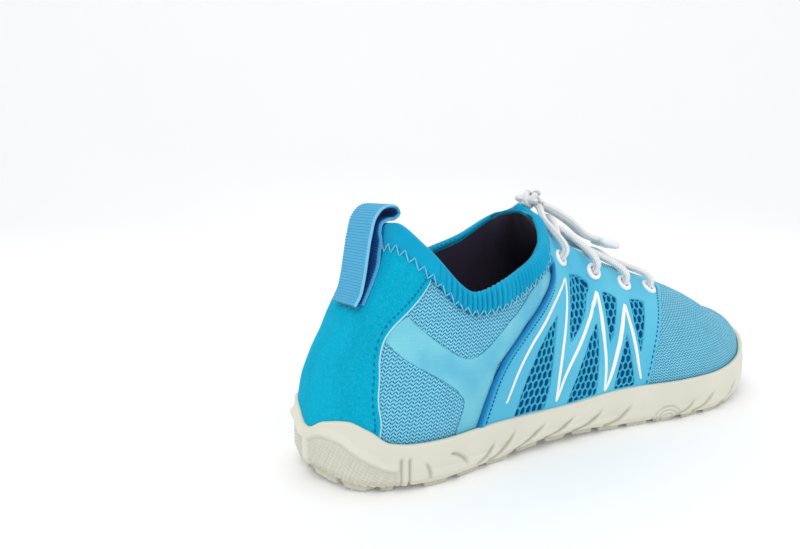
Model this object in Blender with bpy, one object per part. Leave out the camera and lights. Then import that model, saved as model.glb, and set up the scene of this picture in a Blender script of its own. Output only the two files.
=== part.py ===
"""Right water shoe: knitted bootie on a rubber cup sole, with side saddles, laces and a heel loop.

Metres, +Z up. +Y runs to the toe and +X to the outer side of the foot. The origin is the flat middle of the heel
tread, on the floor. Tables hold shares of the named sizes above them. A place on the upper is given as
(round, up): round goes from 0 at the heel's middle, by the outer side and the toe, to 1 at the heel again, and up
goes from 0 at the upper's lower edge to 1 at the collar or at the ridge of the instep.
"""

import math

import bmesh
import bpy
import numpy as np
from mathutils import Vector
from mathutils.geometry import delaunay_2d_cdt

# Driving sizes
LENGTH = 0.262
HEEL_REST_FROM_BACK = 0.038
HEEL_WIDTH = 0.0645
WAIST_WIDTH = 0.064
BALL_WIDTH = 0.095
TOE_WIDTH = 0.083
COLLAR_WIDTH = 0.065
HEEL_HEIGHT = 0.090
INSTEP_HEIGHT = 0.096
SOLE_SIDE = 0.017
SOLE_BASE = 0.0087
TOE_SPRING = 0.012
CUP_WALL = 0.0035
CUP_RIM = 0.0022
RIB_DEPTH = 0.0006
LUG_DEPTH = 0.0022
UPPER_WALL = 0.002
INSOLE_THICK = 0.004
COUNTER_THICK = 0.0009
FILM_THICK = 0.0005
BAND_THICK = 0.0012
SADDLE_THICK = 0.0010
BEAD_HEIGHT = 0.0011
ZIGZAG_THICK = 0.0007
ZIGZAG_WIDTH = 0.0019
EYELET_OUTER = 0.0076
EYELET_BORE = 0.0040
EYELET_THICK = 0.0015
EYELET_LIFT = 0.0003
EYELET_CLEAR = 0.0005
LACE_DIAMETER = 0.0030
KNOT_SIZE = 0.0100
LOOP_WIDTH = 0.017
LOOP_THICK = 0.0012
LOOP_ASIDE = 0.0013
LOOP_BASE_UP = 0.062
LOOP_TOP_UP = 0.0972
CLIP_LENGTH = 0.013
CLIP_WIDTH = 0.0090
CLIP_THICK = 0.0042
CLIP_EDGE = 0.0008
HEEL_BEND = 13.0  # how far the loop's sewn leg bends forward at its sides, per metre aside squared

# Panels over the skin: lifts in metres, the others in shares of round or up
BAND_LIFT = 0.0004
SADDLE_LIFT = 0.0003
BEAD_IN = 0.0016
BAND_END = 0.005
BAND_SEAM_GAP = 0.010
WINDOW_FOOT = 0.035
BEAD_FOOT = 0.01

# Lace: heights of its middle over the skin in metres, the strands' places in shares of round and up
LACE_OVER_SADDLE = 0.0036
LACE_OVER_VAMP = 0.0021
LACE_PASS = 0.0021
LACE_START = 0.09
LACE_RIDGE = 0.2600
TOP_RIDGE = 0.2490
ARRIVE_AHEAD = 0.0185
ARRIVE_ABOVE = 0.045
STRAND_SIDES = 7
STRAND_POINTS = 8
TOP_POINTS = 15
END_POINTS = 8
KNOT_SHAPE = (1.5, 1.0, 0.85)  # shares of KNOT_SIZE
KNOT_PLACE = (0.0, 0.1110, 0.0978)  # from the heel's back and the floor, as the clip's
CLIP_PLACE = (0.010, 0.1520, 0.0778)
CLIP_FALL = -14.0

# Clearances between pieces, and the sole's small sizes
CLEAR = 0.0003
SEAT = CLEAR + 0.00006
CUP_SEAT = CLEAR + 0.0002
FLOOR_FOLLOWS = 0.85
FLOOR_DROP = 0.0003
RIM_DROP = 0.0006
SOLE_RIBS = 40
TREAD_RIM = 0.0012
LUG_INSET = 0.0019
LUG_OPEN = 0.30  # share of a lug's pitch that stays open
LUG_SWEEP = 0.008  # how far round the inner end of a lug lies ahead of its outer end
LUG_ROOT = 0.0008
RING_OPEN = 0.0030
RING_INNER = 0.62  # inner radius of a pad's ring, as a share of the outer one
GROOVE_WIDTH = 0.0010
GROOVE_DEPTH = 0.0011
GROOVE_TOP = 0.0140
GROOVES = (0.0652, 0.0700)

WIDTHS = {"heel": HEEL_WIDTH, "waist": WAIST_WIDTH, "ball": BALL_WIDTH, "toe": TOE_WIDTH}

# Sole outline: along = share of LENGTH; outer, inner = shares of the width that the row names
OUTLINE = (
    # along, outer, inner, width
    (0.027, 0.332, 0.332, "heel"),
    (0.115, 0.498, 0.498, "heel"),
    (0.252, 0.505, 0.458, "waist"),
    (0.382, 0.531, 0.475, "waist"),
    (0.515, 0.401, 0.385, "ball"),
    (0.641, 0.488, 0.465, "ball"),
    (0.748, 0.504, 0.494, "ball"),
    (0.863, 0.482, 0.510, "toe"),
    (0.962, 0.253, 0.352, "toe"),
)
TIP_ASIDE = -0.072  # share of TOE_WIDTH

# Underside: along = share of LENGTH; rise = share of TOE_SPRING
TREAD_RISE = (
    # along, rise
    (0.0, 0.32),
    (0.035, 0.07),
    (0.075, 0.0),
    (0.24, 0.0),
    (0.33, 0.19),
    (0.42, 0.16),
    (0.51, 0.0),
    (0.72, 0.0),
    (0.86, 0.33),
    (1.0, 1.0),
)

# Edge lugs: round; reach = share of TREAD_BAND
TREAD_BAND = 0.010
LUG_REACH = (
    # round, reach
    (0.0, 0.68),
    (0.07, 0.66),
    (0.16, 0.95),
    (0.28, 0.85),
    (0.42, 1.15),
    (0.5, 1.30),
)

# Round pads of the tread: aside, along = place of the middle; radius
PADS = {
    "heel": (0.0, 0.038, 0.0235),
    "ball_outer": (0.0155, 0.150, 0.0160),
    "ball_inner": (-0.0165, 0.1675, 0.0172),
}

# Top line of the cup sole: round; height = share of SOLE_SIDE
CUP_LINE = (
    # round, height
    (0.0, 1.15),
    (0.015, 1.38),
    (0.032, 1.49),
    (0.046, 1.33),
    (0.059, 1.05),
    (0.075, 0.98),
    (0.12, 0.99),
    (0.19, 0.95),
    (0.26, 1.06),
    (0.33, 1.08),
    (0.39, 1.22),
    (0.44, 1.55),
    (0.5, 1.75),
)

# Collar edge: round; aside = share of half COLLAR_WIDTH; along = share of LENGTH; height = share of HEEL_HEIGHT
COLLAR = (
    # round, aside, along, height
    (0.0, 0.0, 0.110, 0.994),
    (0.03, 0.385, 0.119, 1.000),
    (0.06, 0.692, 0.150, 0.897),
    (0.10, 0.923, 0.206, 0.730),
    (0.13, 1.0, 0.251, 0.772),
    (0.165, 0.969, 0.300, 0.830),
    (0.20, 0.769, 0.355, 0.905),
    (0.225, 0.415, 0.390, 1.010),
    (0.24, 0.0, 0.401, 1.055),
)
COLLAR_FRONT = 0.24
FAN_START = 0.42

# Ridge of the instep and vamp: on = share of the way to the toe box; aside = share of BALL_WIDTH;
# along = share of LENGTH; height = share of INSTEP_HEIGHT
RIDGE = (
    # on, aside, along, height
    (0.0, 0.0, 0.401, 0.989),
    (0.2, 0.0, 0.477, 0.831),
    (0.45, 0.0, 0.580, 0.717),
    (0.7, -0.02, 0.695, 0.625),
    (0.88, -0.042, 0.809, 0.500),
    (1.0, -0.063, 0.885, 0.430),
)

# Section of the upper: round; swell = outward pull in shares of HEEL_WIDTH; rise = lower handle in shares of
# the height; lean = outward lean of the upper handle
SECTION = (
    # round, swell, rise, lean
    (0.0, 0.093, 0.40, -0.10),
    (0.06, 0.087, 0.40, 0.0),
    (0.13, 0.064, 0.40, 0.18),
    (0.20, 0.062, 0.41, 0.20),
    (0.30, 0.078, 0.50, 0.20),
    (0.42, 0.093, 0.75, 0.20),
    (0.5, 0.093, 0.90, 0.20),
)
COLLAR_HANDLE = 0.30
RIDGE_HANDLE = 0.55

# Panels of the outer side, as (round, up); the inner side mirrors them
COUNTER_FRONT = ((0.053, 0.14), (0.053, 0.184), (0.048, 0.274), (0.0465, 0.351), (0.042, 0.446), (0.0425, 0.53))
COUNTER_FRONT += ((0.052, 0.657), (0.061, 0.82), (0.0625, 0.862))
BAND_SEAM = ((0.0, 0.885), (0.03, 0.883), (0.048, 0.877), (0.061, 0.871), (0.073, 0.86), (0.085, 0.859))
BAND_SEAM += ((0.099, 0.868), (0.112, 0.852), (0.129, 0.845), (0.146, 0.855), (0.17, 0.872), (0.20, 0.88))
BAND_SEAM += ((0.222, 0.885), (0.24, 0.885))
FILM_TOP = ((0.052, 0.642), (0.067, 0.603), (0.090, 0.584), (0.108, 0.566), (0.126, 0.692), (0.150, 0.774))
FILM_TOP += ((0.167, 0.848), (0.187, 0.850), (0.199, 0.834), (0.2055, 0.808))
FILM_LOW = ((0.102, 0.06), (0.102, 0.131), (0.104, 0.235), (0.104, 0.316), (0.090, 0.419), (0.060, 0.447))
FILM_LOW += ((0.0425, 0.502),)
SADDLE_REAR = ((0.119, 0.06), (0.119, 0.112), (0.127, 0.473), (0.153, 0.634), (0.181, 0.735), (0.203, 0.775))
SADDLE_REAR += ((0.209, 0.81), (0.204, 0.845), (0.19, 0.862))
EYESTAY_EDGE = ((0.224, 0.868), (0.231, 0.79), (0.244, 0.71), (0.258, 0.665), (0.289, 0.675), (0.319, 0.695))
EYESTAY_EDGE += ((0.338, 0.745), (0.352, 0.765))
SADDLE_FRONT = ((0.352, 0.765), (0.340, 0.65), (0.314, 0.496), (0.287, 0.271), (0.274, 0.109), (0.273, 0.05))
WINDOWS = {
    "upper_rear": ((0.2325, 0.560), (0.245, 0.488), (0.2095, 0.395)),
    "upper_middle": ((0.2565, 0.478), (0.272, 0.482), (0.2470, 0.263)),
    "upper_front": ((0.285, 0.484), (0.301, 0.500), (0.2725, 0.234)),
    "lower_rear": ((0.2000, 0.585), (0.178, 0.06), (0.151, 0.06)),
    "lower_middle": ((0.2385, 0.336), (0.225, 0.04), (0.198, 0.04)),
    "lower_front": ((0.2635, 0.304), (0.264, 0.04), (0.242, 0.04)),
}
ZIGZAG = ((0.143, 0.174), (0.158, 0.427), (0.193, 0.640), (0.224, 0.613), (0.203, 0.429), (0.189, 0.125))
ZIGZAG += ((0.221, 0.369), (0.251, 0.470), (0.241, 0.266), (0.233, 0.115), (0.252, 0.238), (0.276, 0.450))
ZIGZAG += ((0.268, 0.276), (0.268, 0.125))
EYELETS = ((0.228, 0.69), (0.257, 0.572), (0.289, 0.589), (0.319, 0.608))

# Free leg of the pull loop, from over the collar down to its foot: along, up from the heel's back and the floor
LOOP_OUTER = (
    # along, up
    (0.0259, 0.0880),
    (0.0268, 0.0908),
    (0.0300, 0.0921),
    (0.0335, 0.0925),
    (0.0354, 0.0940),
    (0.0346, 0.0960),
    (0.0318, 0.0968),
    (0.0285, 0.0961),
    (0.0254, 0.0930),
    (0.0234, 0.0870),
    (0.0218, 0.0790),
    (0.0203, 0.0710),
    (0.0184, 0.0650),
    (0.0165, 0.0622),
)

# Lace ends, from the knot to the clip: aside, along, height in metres from the heel's back and the floor
LACE_ENDS = {
    "lace_end_outer": (
        (0.0064, 0.1129, 0.0958),
        (0.0095, 0.1180, 0.0930),
        (0.0115, 0.1215, 0.0905),
        (0.0125, 0.1265, 0.0872),
        (0.0125, 0.1325, 0.0832),
        (0.0120, 0.1385, 0.0808),
        (0.0112, 0.1440, 0.0797),
    ),
    "lace_end_inner": (
        (0.0024, 0.1151, 0.0950),
        (0.0055, 0.1190, 0.0930),
        (0.0075, 0.1230, 0.0905),
        (0.0085, 0.1280, 0.0874),
        (0.0085, 0.1340, 0.0836),
        (0.0080, 0.1395, 0.0815),
        (0.0074, 0.1440, 0.0803),
    ),
}


def smooth_table(places, values, at):
    """Monotone cubic curve through a table's rows."""
    x = np.asarray(places, float)
    y = np.asarray(values, float)
    at = np.clip(np.asarray(at, float), x[0], x[-1])
    step = np.diff(x)
    slope = np.diff(y) / step
    tangent = np.zeros_like(y)
    for k in range(1, len(x) - 1):
        if slope[k - 1] * slope[k] > 0:
            before = 2 * step[k] + step[k - 1]
            after = step[k] + 2 * step[k - 1]
            tangent[k] = (before + after) / (before / slope[k - 1] + after / slope[k])
    tangent[0], tangent[-1] = slope[0], slope[-1]
    k = np.clip(np.searchsorted(x, at, side="right") - 1, 0, len(x) - 2)
    s = (at - x[k]) / step[k]
    rise = (3 - 2 * s) * s * s
    return (
        y[k] * (1 - rise)
        + y[k + 1] * rise
        + step[k] * s * (1 - s) * ((1 - s) * tangent[k] - s * tangent[k + 1])
    )


def columns(rows):
    return [np.array(column, float) for column in zip(*rows)]


def ease(value, start, end):
    s = np.clip((np.asarray(value, float) - start) / (end - start), 0, 1)
    return s * s * (3 - 2 * s)


def outline_points():
    outer = [(share * WIDTHS[width], along * LENGTH) for along, share, _, width in OUTLINE]
    inner = [(-share * WIDTHS[width], along * LENGTH) for along, _, share, width in OUTLINE]
    tip = (TIP_ASIDE * TOE_WIDTH, LENGTH)
    return np.array([(0.0, 0.0), *outer, tip, *reversed(inner)])


OUTLINE_POINTS = outline_points()


def outline(round_):
    """Sole outline seen from above, and its outward direction."""
    points = OUTLINE_POINTS
    after = np.roll(points, -1, 0)
    before = np.roll(points, 1, 0)
    reach = np.linalg.norm(after - points, axis=1)
    back = np.roll(reach, 1)
    marks = np.concatenate([[0], np.cumsum(reach)]) / reach.sum()
    turn = (after - points) / reach[:, None] * back[:, None]
    turn = turn + (points - before) / back[:, None] * reach[:, None]
    tangent = turn / (reach + back)[:, None]
    at = np.mod(np.asarray(round_, float), 1.0)
    k = np.clip(np.searchsorted(marks, at, side="right") - 1, 0, len(points) - 1)
    s = ((at - marks[k]) / (marks[k + 1] - marks[k]))[..., None]
    n = (k + 1) % len(points)
    a, b = tangent[k] * reach[k][..., None], tangent[n] * reach[k][..., None]
    place = (2 * s**3 - 3 * s**2 + 1) * points[k] + (s**3 - 2 * s**2 + s) * a
    place = place + (3 * s**2 - 2 * s**3) * points[n] + (s**3 - s**2) * b
    way = (6 * s**2 - 6 * s) * (points[k] - points[n]) + (3 * s**2 - 4 * s + 1) * a + (3 * s**2 - 2 * s) * b
    way = way / np.linalg.norm(way, axis=-1, keepdims=True)
    out = np.stack([way[..., 1], -way[..., 0]], -1)
    return place, out


def half_round(round_):
    """Distance round from the heel, the same on both sides, and the side's sign."""
    at = np.mod(np.asarray(round_, float), 1.0)
    return np.minimum(at, 1 - at), np.where(at > 0.5, -1.0, 1.0)


def tread_height(along):
    places, rise = columns(TREAD_RISE)
    return smooth_table(places * LENGTH, rise * TOE_SPRING, along)


def cup_floor(along):
    """Height of the cup's floor: level under the heel, then it follows the tread to the toe."""
    from_heel = np.maximum(along, HEEL_REST_FROM_BACK)
    return tread_height(from_heel) * FLOOR_FOLLOWS + SOLE_BASE


def cup_top(round_):
    at, _ = half_round(round_)
    places, height = columns(CUP_LINE)
    return smooth_table(places, height * SOLE_SIDE, at)


def top_edge(round_):
    """The collar's edge, then the ridge of the instep, then the middle of the toe box."""
    at, side = half_round(round_)
    places, aside, along, height = columns(COLLAR)
    collar_at = np.minimum(at, COLLAR_FRONT)
    collar = [
        side * smooth_table(places, aside * COLLAR_WIDTH / 2, collar_at),
        smooth_table(places, along * LENGTH, collar_at),
        smooth_table(places, height * HEEL_HEIGHT, collar_at),
    ]
    on = np.clip((at - COLLAR_FRONT) / (FAN_START - COLLAR_FRONT), 0, 1)
    places, aside, along, height = columns(RIDGE)
    ridge = [
        smooth_table(places, aside * BALL_WIDTH, on),
        smooth_table(places, along * LENGTH, on),
        smooth_table(places, height * INSTEP_HEIGHT, on),
    ]
    return np.where((at <= COLLAR_FRONT)[..., None], np.stack(collar, -1), np.stack(ridge, -1))


def toe_fall():
    """Slope of the ridge where it meets the toe box."""
    end = top_edge(np.array([FAN_START - 0.005, FAN_START]))
    return (end[1, 2] - end[0, 2]) / (end[1, 1] - end[0, 1])


TOE_FALL = toe_fall()


def skin(round_, up):
    """Outer face of the upper."""
    round_, up = np.broadcast_arrays(np.asarray(round_, float), np.asarray(up, float))
    at, side = half_round(round_)
    foot, out = outline(round_)
    foot = foot - out * (CUP_WALL + CLEAR)
    low = np.concatenate([foot, (cup_floor(foot[..., 1]) + CLEAR)[..., None]], -1)
    out = np.concatenate([out, np.zeros(out.shape[:-1] + (1,))], -1)
    high = top_edge(round_)
    tall = (high - low)[..., 2:3]
    places, swell, rise, lean = columns(SECTION)
    swell = smooth_table(places, swell * HEEL_WIDTH, at)[..., None]
    rise = smooth_table(places, rise, at)[..., None]
    lean = smooth_table(places, lean, at)[..., None]
    upward = np.array([0, 0, 1.0])
    lower_handle = low + out * swell + upward * tall * rise
    flat = (low - high) * np.array([1, 1, 0.0])
    reach = np.linalg.norm(flat, axis=-1, keepdims=True)
    across = np.stack([side, np.zeros_like(side), np.zeros_like(side)], -1)
    fan = ease(at, FAN_START - 0.06, FAN_START)[..., None]
    across = across * (1 - fan) + flat / np.maximum(reach, 1e-9) * fan
    across = across / np.linalg.norm(across, axis=-1, keepdims=True)
    ridge = ease(at, COLLAR_FRONT - 0.04, COLLAR_FRONT + 0.02)[..., None]
    at_collar = (out * lean - upward) * tall * COLLAR_HANDLE
    on_ridge = across * reach * RIDGE_HANDLE * ridge
    on_ridge[..., 2] += on_ridge[..., 1] * TOE_FALL
    upper_handle = high + at_collar * (1 - ridge) + on_ridge
    s = up[..., None]
    place = (1 - s) ** 3 * low + 3 * (1 - s) ** 2 * s * lower_handle
    place = place + 3 * (1 - s) * s * s * upper_handle + s**3 * high
    return place - np.array([0, HEEL_REST_FROM_BACK, 0])


def skin_out(round_, up):
    """Outward direction of the upper's face."""
    round_, up = np.broadcast_arrays(np.asarray(round_, float), np.asarray(up, float))
    near = 1e-4
    low_up, high_up = np.clip(up - near, 0, 0.9997), np.clip(up + near, 0.0002, 0.9999)
    middle = np.clip(up, 0.0001, 0.9998)
    rising = skin(round_, high_up) - skin(round_, low_up)
    going = skin(round_ + near, middle) - skin(round_ - near, middle)
    out = np.cross(going, rising)
    return out / np.maximum(np.linalg.norm(out, axis=-1, keepdims=True), 1e-15)


def over_skin(round_, up, height):
    height = np.asarray(height, float)
    return skin(round_, up) + skin_out(round_, up) * height[..., None]


def up_at_height(round_, height):
    """The share up at which the upper's face passes a height near its lower edge."""
    low, high = np.zeros_like(round_), np.full_like(round_, 0.6)
    for _ in range(30):
        middle = (low + high) / 2
        above = skin(round_, middle)[..., 2] > height
        low, high = np.where(above, low, middle), np.where(above, middle, high)
    return (low + high) / 2


def clear_scene():
    for obj in list(bpy.data.objects):
        bpy.data.objects.remove(obj, do_unlink=True)


def material(name, colour, roughness, metallic=0.0):
    made = bpy.data.materials.get(name) or bpy.data.materials.new(name)
    made.use_nodes = True
    shader = made.node_tree.nodes["Principled BSDF"]
    shader.inputs["Base Color"].default_value = (*colour, 1.0)
    shader.inputs["Roughness"].default_value = roughness
    shader.inputs["Metallic"].default_value = metallic
    return made


def finish_object(name, bm, finish, smooth_angle=40.0):
    bmesh.ops.remove_doubles(bm, verts=bm.verts, dist=1e-6)
    bmesh.ops.recalc_face_normals(bm, faces=bm.faces)
    mesh = bpy.data.meshes.new(name)
    bm.to_mesh(mesh)
    bm.free()
    mesh.materials.append(finish)
    mesh.shade_smooth()
    mesh.set_sharp_from_angle(angle=math.radians(smooth_angle))
    made = bpy.data.objects.new(name, mesh)
    bpy.context.scene.collection.objects.link(made)
    return made


def helper(made):
    made.hide_render = True
    made.display_type = "WIRE"
    return made


def loft(rings, closed=False):
    """Quads between rings of points; closed joins the last ring to the first."""
    bm = bmesh.new()
    made = [[bm.verts.new(point) for point in ring] for ring in rings]
    pairs = list(zip(made, made[1:]))
    if closed:
        pairs.append((made[-1], made[0]))
    for lower, upper in pairs:
        for k in range(len(lower)):
            n = (k + 1) % len(lower)
            bm.faces.new((lower[k], lower[n], upper[n], upper[k]))
    return bm, made


def tube(points, radius, sides, name, finish):
    """Round bar along points, with flat ends."""
    path = np.asarray(points, float)
    way = np.gradient(path, axis=0)
    way /= np.linalg.norm(way, axis=1, keepdims=True)
    side = np.cross(way, [0, 0, 1.0])
    side /= np.linalg.norm(side, axis=1, keepdims=True)
    lift = np.cross(side, way)
    angles = np.arange(sides) * 2 * math.pi / sides
    rings = [
        [path[k] + radius * (math.cos(a) * side[k] + math.sin(a) * lift[k]) for a in angles]
        for k in range(len(path))
    ]
    bm, made = loft(rings)
    bm.faces.new(made[0])
    bm.faces.new(made[-1])
    return finish_object(name, bm, finish)


# Columns and rows of the upper's faces
HEEL_STEPS, SIDE_STEPS, RIDGE_STEPS, FAN_STEPS = 6, 11, 9, 4
HEEL_ROUND = 0.06


def column_places():
    """Places round the outer side, from the heel to the toe."""
    heel = np.linspace(0, HEEL_ROUND, HEEL_STEPS + 1)[:-1]
    side = np.linspace(HEEL_ROUND, COLLAR_FRONT, SIDE_STEPS + 1)[:-1]
    ridge = np.linspace(COLLAR_FRONT, FAN_START, RIDGE_STEPS + 1)[:-1]
    fan = np.linspace(FAN_START, 0.5, FAN_STEPS + 1)
    return np.concatenate([heel, side, ridge, fan])


ROW_PLACES = np.array([0.0, 0.09, 0.19, 0.31, 0.44, 0.58, 0.72, 0.86, 1.0])


def build_upper(finish):
    """Hollow bootie: an open face, thickened inwards, open at the collar and underneath."""
    outer = column_places()
    places = np.concatenate([outer, 1 - outer[-2:0:-1]])
    bm = bmesh.new()
    made = [[bm.verts.new(skin(place, up)) for up in ROW_PLACES] for place in places]
    for k in range(len(places)):
        n = (k + 1) % len(places)
        for row in range(len(ROW_PLACES) - 1):
            bm.faces.new((made[k][row], made[n][row], made[n][row + 1], made[k][row + 1]))
    bmesh.ops.remove_doubles(bm, verts=bm.verts, dist=1e-6)
    upper = finish_object("upper", bm, finish, 60)
    wall = upper.modifiers.new("wall", "SOLIDIFY")
    wall.thickness = UPPER_WALL
    wall.offset = -1.0
    wall.use_even_offset = True
    wall.use_quality_normals = True
    return upper


SOLE_COLUMNS = SOLE_RIBS * 3
SHIFT = np.array([0, HEEL_REST_FROM_BACK])


def standing(plan, height):
    """Points of a plan at a height above the tread's underside."""
    plan = np.asarray(plan, float)
    rise = tread_height(plan[:, 1]) + height
    return np.concatenate([plan - SHIFT, rise[:, None]], 1)


def add_prism(bm, plan, hole=None):
    """Closed block on the tread from a plan of points, with an inner plan left open."""
    loops = [plan] if hole is None else [plan, hole]
    faces = []
    for loop in loops:
        low = [bm.verts.new(point) for point in standing(loop, 0)]
        high = [bm.verts.new(point) for point in standing(loop, LUG_DEPTH + LUG_ROOT)]
        faces.append((low, high))
        for k in range(len(loop)):
            n = (k + 1) % len(loop)
            bm.faces.new((low[k], low[n], high[n], high[k]))
    for level in (0, 1):
        if hole is None:
            bm.faces.new(faces[0][level])
            continue
        outer, inner = faces[0][level], faces[1][level]
        for k in range(len(outer)):
            n = (k + 1) % len(outer)
            bm.faces.new((outer[k], outer[n], inner[n], inner[k]))


def circle(centre, radius, sides):
    turn = (np.arange(sides) + 0.3) * 2 * math.pi / sides
    return np.stack([centre[0] + radius * np.cos(turn), centre[1] + radius * np.sin(turn)], 1)


def inset_place(round_, inset):
    plan, out = outline(round_)
    return plan - out * inset


def build_pads(finish):
    """Ringed round pads under the heel and each ball: the rings, then the discs inside them."""
    rings, discs = bmesh.new(), bmesh.new()
    for aside, along, radius in PADS.values():
        centre = (aside, along)
        inner = radius * RING_INNER
        add_prism(rings, circle(centre, radius, 18), circle(centre, inner, 18))
        add_prism(discs, circle(centre, inner - RING_OPEN, 12))
    return [
        helper(finish_object("tread_rings", rings, finish)),
        helper(finish_object("tread_discs", discs, finish)),
    ]


def build_lugs(finish):
    """Blocks of the tread in one row along the edge."""
    bm = bmesh.new()
    places, reach = columns(LUG_REACH)
    pitch = 1 / SOLE_RIBS
    for lug in range(SOLE_RIBS):
        start = (lug + LUG_OPEN / 2) * pitch
        end = (lug + 1 - LUG_OPEN / 2) * pitch
        at, side = half_round(start)
        if at < max(GROOVES) < at + pitch:
            continue
        band = float(smooth_table(places, reach * TREAD_BAND, at))
        sweep = LUG_SWEEP * float(side * (1 - ease(at, FAN_START - 0.04, 0.5 - pitch)))
        corners = [inset_place(start, LUG_INSET), inset_place(end, LUG_INSET)]
        corners += [inset_place(end + sweep, band), inset_place(start + sweep, band)]
        add_prism(bm, np.array(corners))
    return helper(finish_object("tread_lugs", bm, finish))


def build_grooves(finish):
    """Cutter of the two upright grooves beside the heel, on both sides."""
    bm = bmesh.new()
    for place in (*GROOVES, *(1 - groove for groove in GROOVES)):
        plan, out = outline(place)
        out3 = np.array([*out, 0.0])
        way = np.array([-out[1], out[0], 0.0]) * GROOVE_WIDTH / 2
        middle = np.array([*(plan - SHIFT), 0.0])
        rings = []
        for height in (-LUG_DEPTH, GROOVE_TOP):
            up = np.array([0, 0, height])
            near, far = out3 * -GROOVE_DEPTH, out3 * GROOVE_DEPTH * 3
            rings.append([middle + up + step for step in (near - way, near + way, far + way, far - way)])
        made = [[bm.verts.new(point) for point in ring] for ring in rings]
        for k in range(4):
            n = (k + 1) % 4
            bm.faces.new((made[0][k], made[0][n], made[1][n], made[1][k]))
        bm.faces.new(made[0])
        bm.faces.new(made[1])
    return helper(finish_object("groove_cutter", bm, finish))


def join_and_cut(made, added, cutter):
    for block in added:
        joined = made.modifiers.new(block.name, "BOOLEAN")
        joined.operation = "UNION"
        joined.object = block
    cut = made.modifiers.new("grooves", "BOOLEAN")
    cut.operation = "DIFFERENCE"
    cut.object = cutter


def build_outsole(finish):
    """Cup sole: floor, inner wall against the upper, rim, ribbed side, tread base and lugs."""
    places = np.arange(SOLE_COLUMNS) / SOLE_COLUMNS
    plan, out = outline(places)
    along = plan[:, 1]
    out3 = np.concatenate([out, np.zeros((SOLE_COLUMNS, 1))], 1)
    floor = cup_floor(along)
    tread = tread_height(along)
    rim = cup_top(places)

    def ring(inset, height):
        inset = np.broadcast_to(inset, (SOLE_COLUMNS,))
        return np.concatenate([plan - out * inset[:, None] - SHIFT, height[:, None]], 1)

    def lowered(inset):
        inner = ring(inset, floor)
        inner[:, 2] = cup_floor(inner[:, 1] + HEEL_REST_FROM_BACK) - FLOOR_DROP
        return inner

    def against_upper(share):
        height = floor + (rim - floor) * share
        return over_skin(places, up_at_height(places, height), np.full(SOLE_COLUMNS, CUP_SEAT))

    inner_rim = against_upper(1.0)
    outer_rim = inner_rim + out3 * CUP_RIM - np.array([0, 0, RIM_DROP])

    def side_ring(share, inset, phase):
        height = tread + LUG_DEPTH + (rim - tread - LUG_DEPTH) * share
        rib = np.sin(2 * math.pi * (places * SOLE_RIBS + phase)) * RIB_DEPTH
        return ring(inset - rib, height)

    rings = [
        lowered(CUP_WALL + UPPER_WALL * 2),
        lowered(CUP_WALL + CLEAR - CUP_SEAT),
        *[against_upper(share) for share in (0.18, 0.55)],
        inner_rim,
        outer_rim,
        side_ring(0.66, 0.0, 0.30),
        side_ring(0.33, 0.0002, 0.15),
        side_ring(0.0, TREAD_RIM, 0.0),
    ]
    bm, made = loft(rings)
    half = SOLE_COLUMNS // 2
    for edge in (made[0], made[-1]):
        for k in range(half):
            corners = [edge[k], edge[k + 1], edge[(-k - 1) % SOLE_COLUMNS], edge[(-k) % SOLE_COLUMNS]]
            kept = [corner for n, corner in enumerate(corners) if corner not in corners[:n]]
            bm.faces.new(kept)
    outsole = finish_object("outsole", bm, finish, 35)
    join_and_cut(outsole, [build_lugs(finish), *build_pads(finish)], build_grooves(finish))
    return outsole


INSOLE_COLUMNS = 40


def build_insole(finish):
    """Flat foam sheet on the cup's floor, inside the upper."""
    places = np.arange(INSOLE_COLUMNS) / INSOLE_COLUMNS
    plan, out = outline(places)
    inset = CUP_WALL + UPPER_WALL + 0.0012
    low = cup_floor(plan[:, 1]) + CLEAR

    def ring(more, height):
        return np.concatenate([plan - out * (inset + more) - SHIFT, (low + height)[:, None]], 1)

    rings = [ring(0, 0), ring(0, INSOLE_THICK * 0.75), ring(0.001, INSOLE_THICK)]
    bm, made = loft(rings)
    for edge in (made[0], made[-1]):
        for k in range(INSOLE_COLUMNS // 2):
            after = (-k - 1) % INSOLE_COLUMNS
            corners = [edge[k], edge[k + 1], edge[after], edge[-k % INSOLE_COLUMNS]]
            kept = [corner for n, corner in enumerate(corners) if corner not in corners[:n]]
            bm.faces.new(kept)
    return finish_object("insole", bm, finish)


# Panels are laid out flat, in shares of the upper's length round and its height, then put over its skin
FLAT = np.array([0.65, 0.08])
EDGE_STEP = 0.0065
GRID_CLEAR = 0.0011
PANEL_GAP = 0.0011
SOLE_GAP = 0.0009
UPPER_END = 0.992


def spread(points, closed=False, step=EDGE_STEP):
    """Flat points along straight stretches, no further apart than a step."""
    points = np.asarray(points, float)
    nexts = np.roll(points, -1, 0) if closed else points[1:]
    made = []
    for start, end in zip(points, nexts):
        count = max(1, math.ceil(np.linalg.norm((end - start) * FLAT) / step))
        made += [start + (end - start) * k / count for k in range(count)]
    if not closed:
        made.append(points[-1])
    return np.array(made)


def above_sole(round_):
    """The share up just clear of the cup's rim."""
    round_ = np.asarray(round_, float)
    return up_at_height(round_, cup_top(round_) + SOLE_GAP)


def along_sole(start, end, count):
    places = np.linspace(start, end, count)
    return np.stack([places, above_sole(places)], 1)


def inside(points, loop):
    """Which flat points lie inside a closed loop."""
    x, y = points[:, 0:1], points[:, 1:2]
    ax, ay = loop[:, 0], loop[:, 1]
    bx, by = np.roll(ax, -1), np.roll(ay, -1)
    crosses = (ay > y) != (by > y)
    rise = np.where(by == ay, 1e-12, by - ay)
    return (crosses & (x < (bx - ax) * (y - ay) / rise + ax)).sum(1) % 2 == 1


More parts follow.
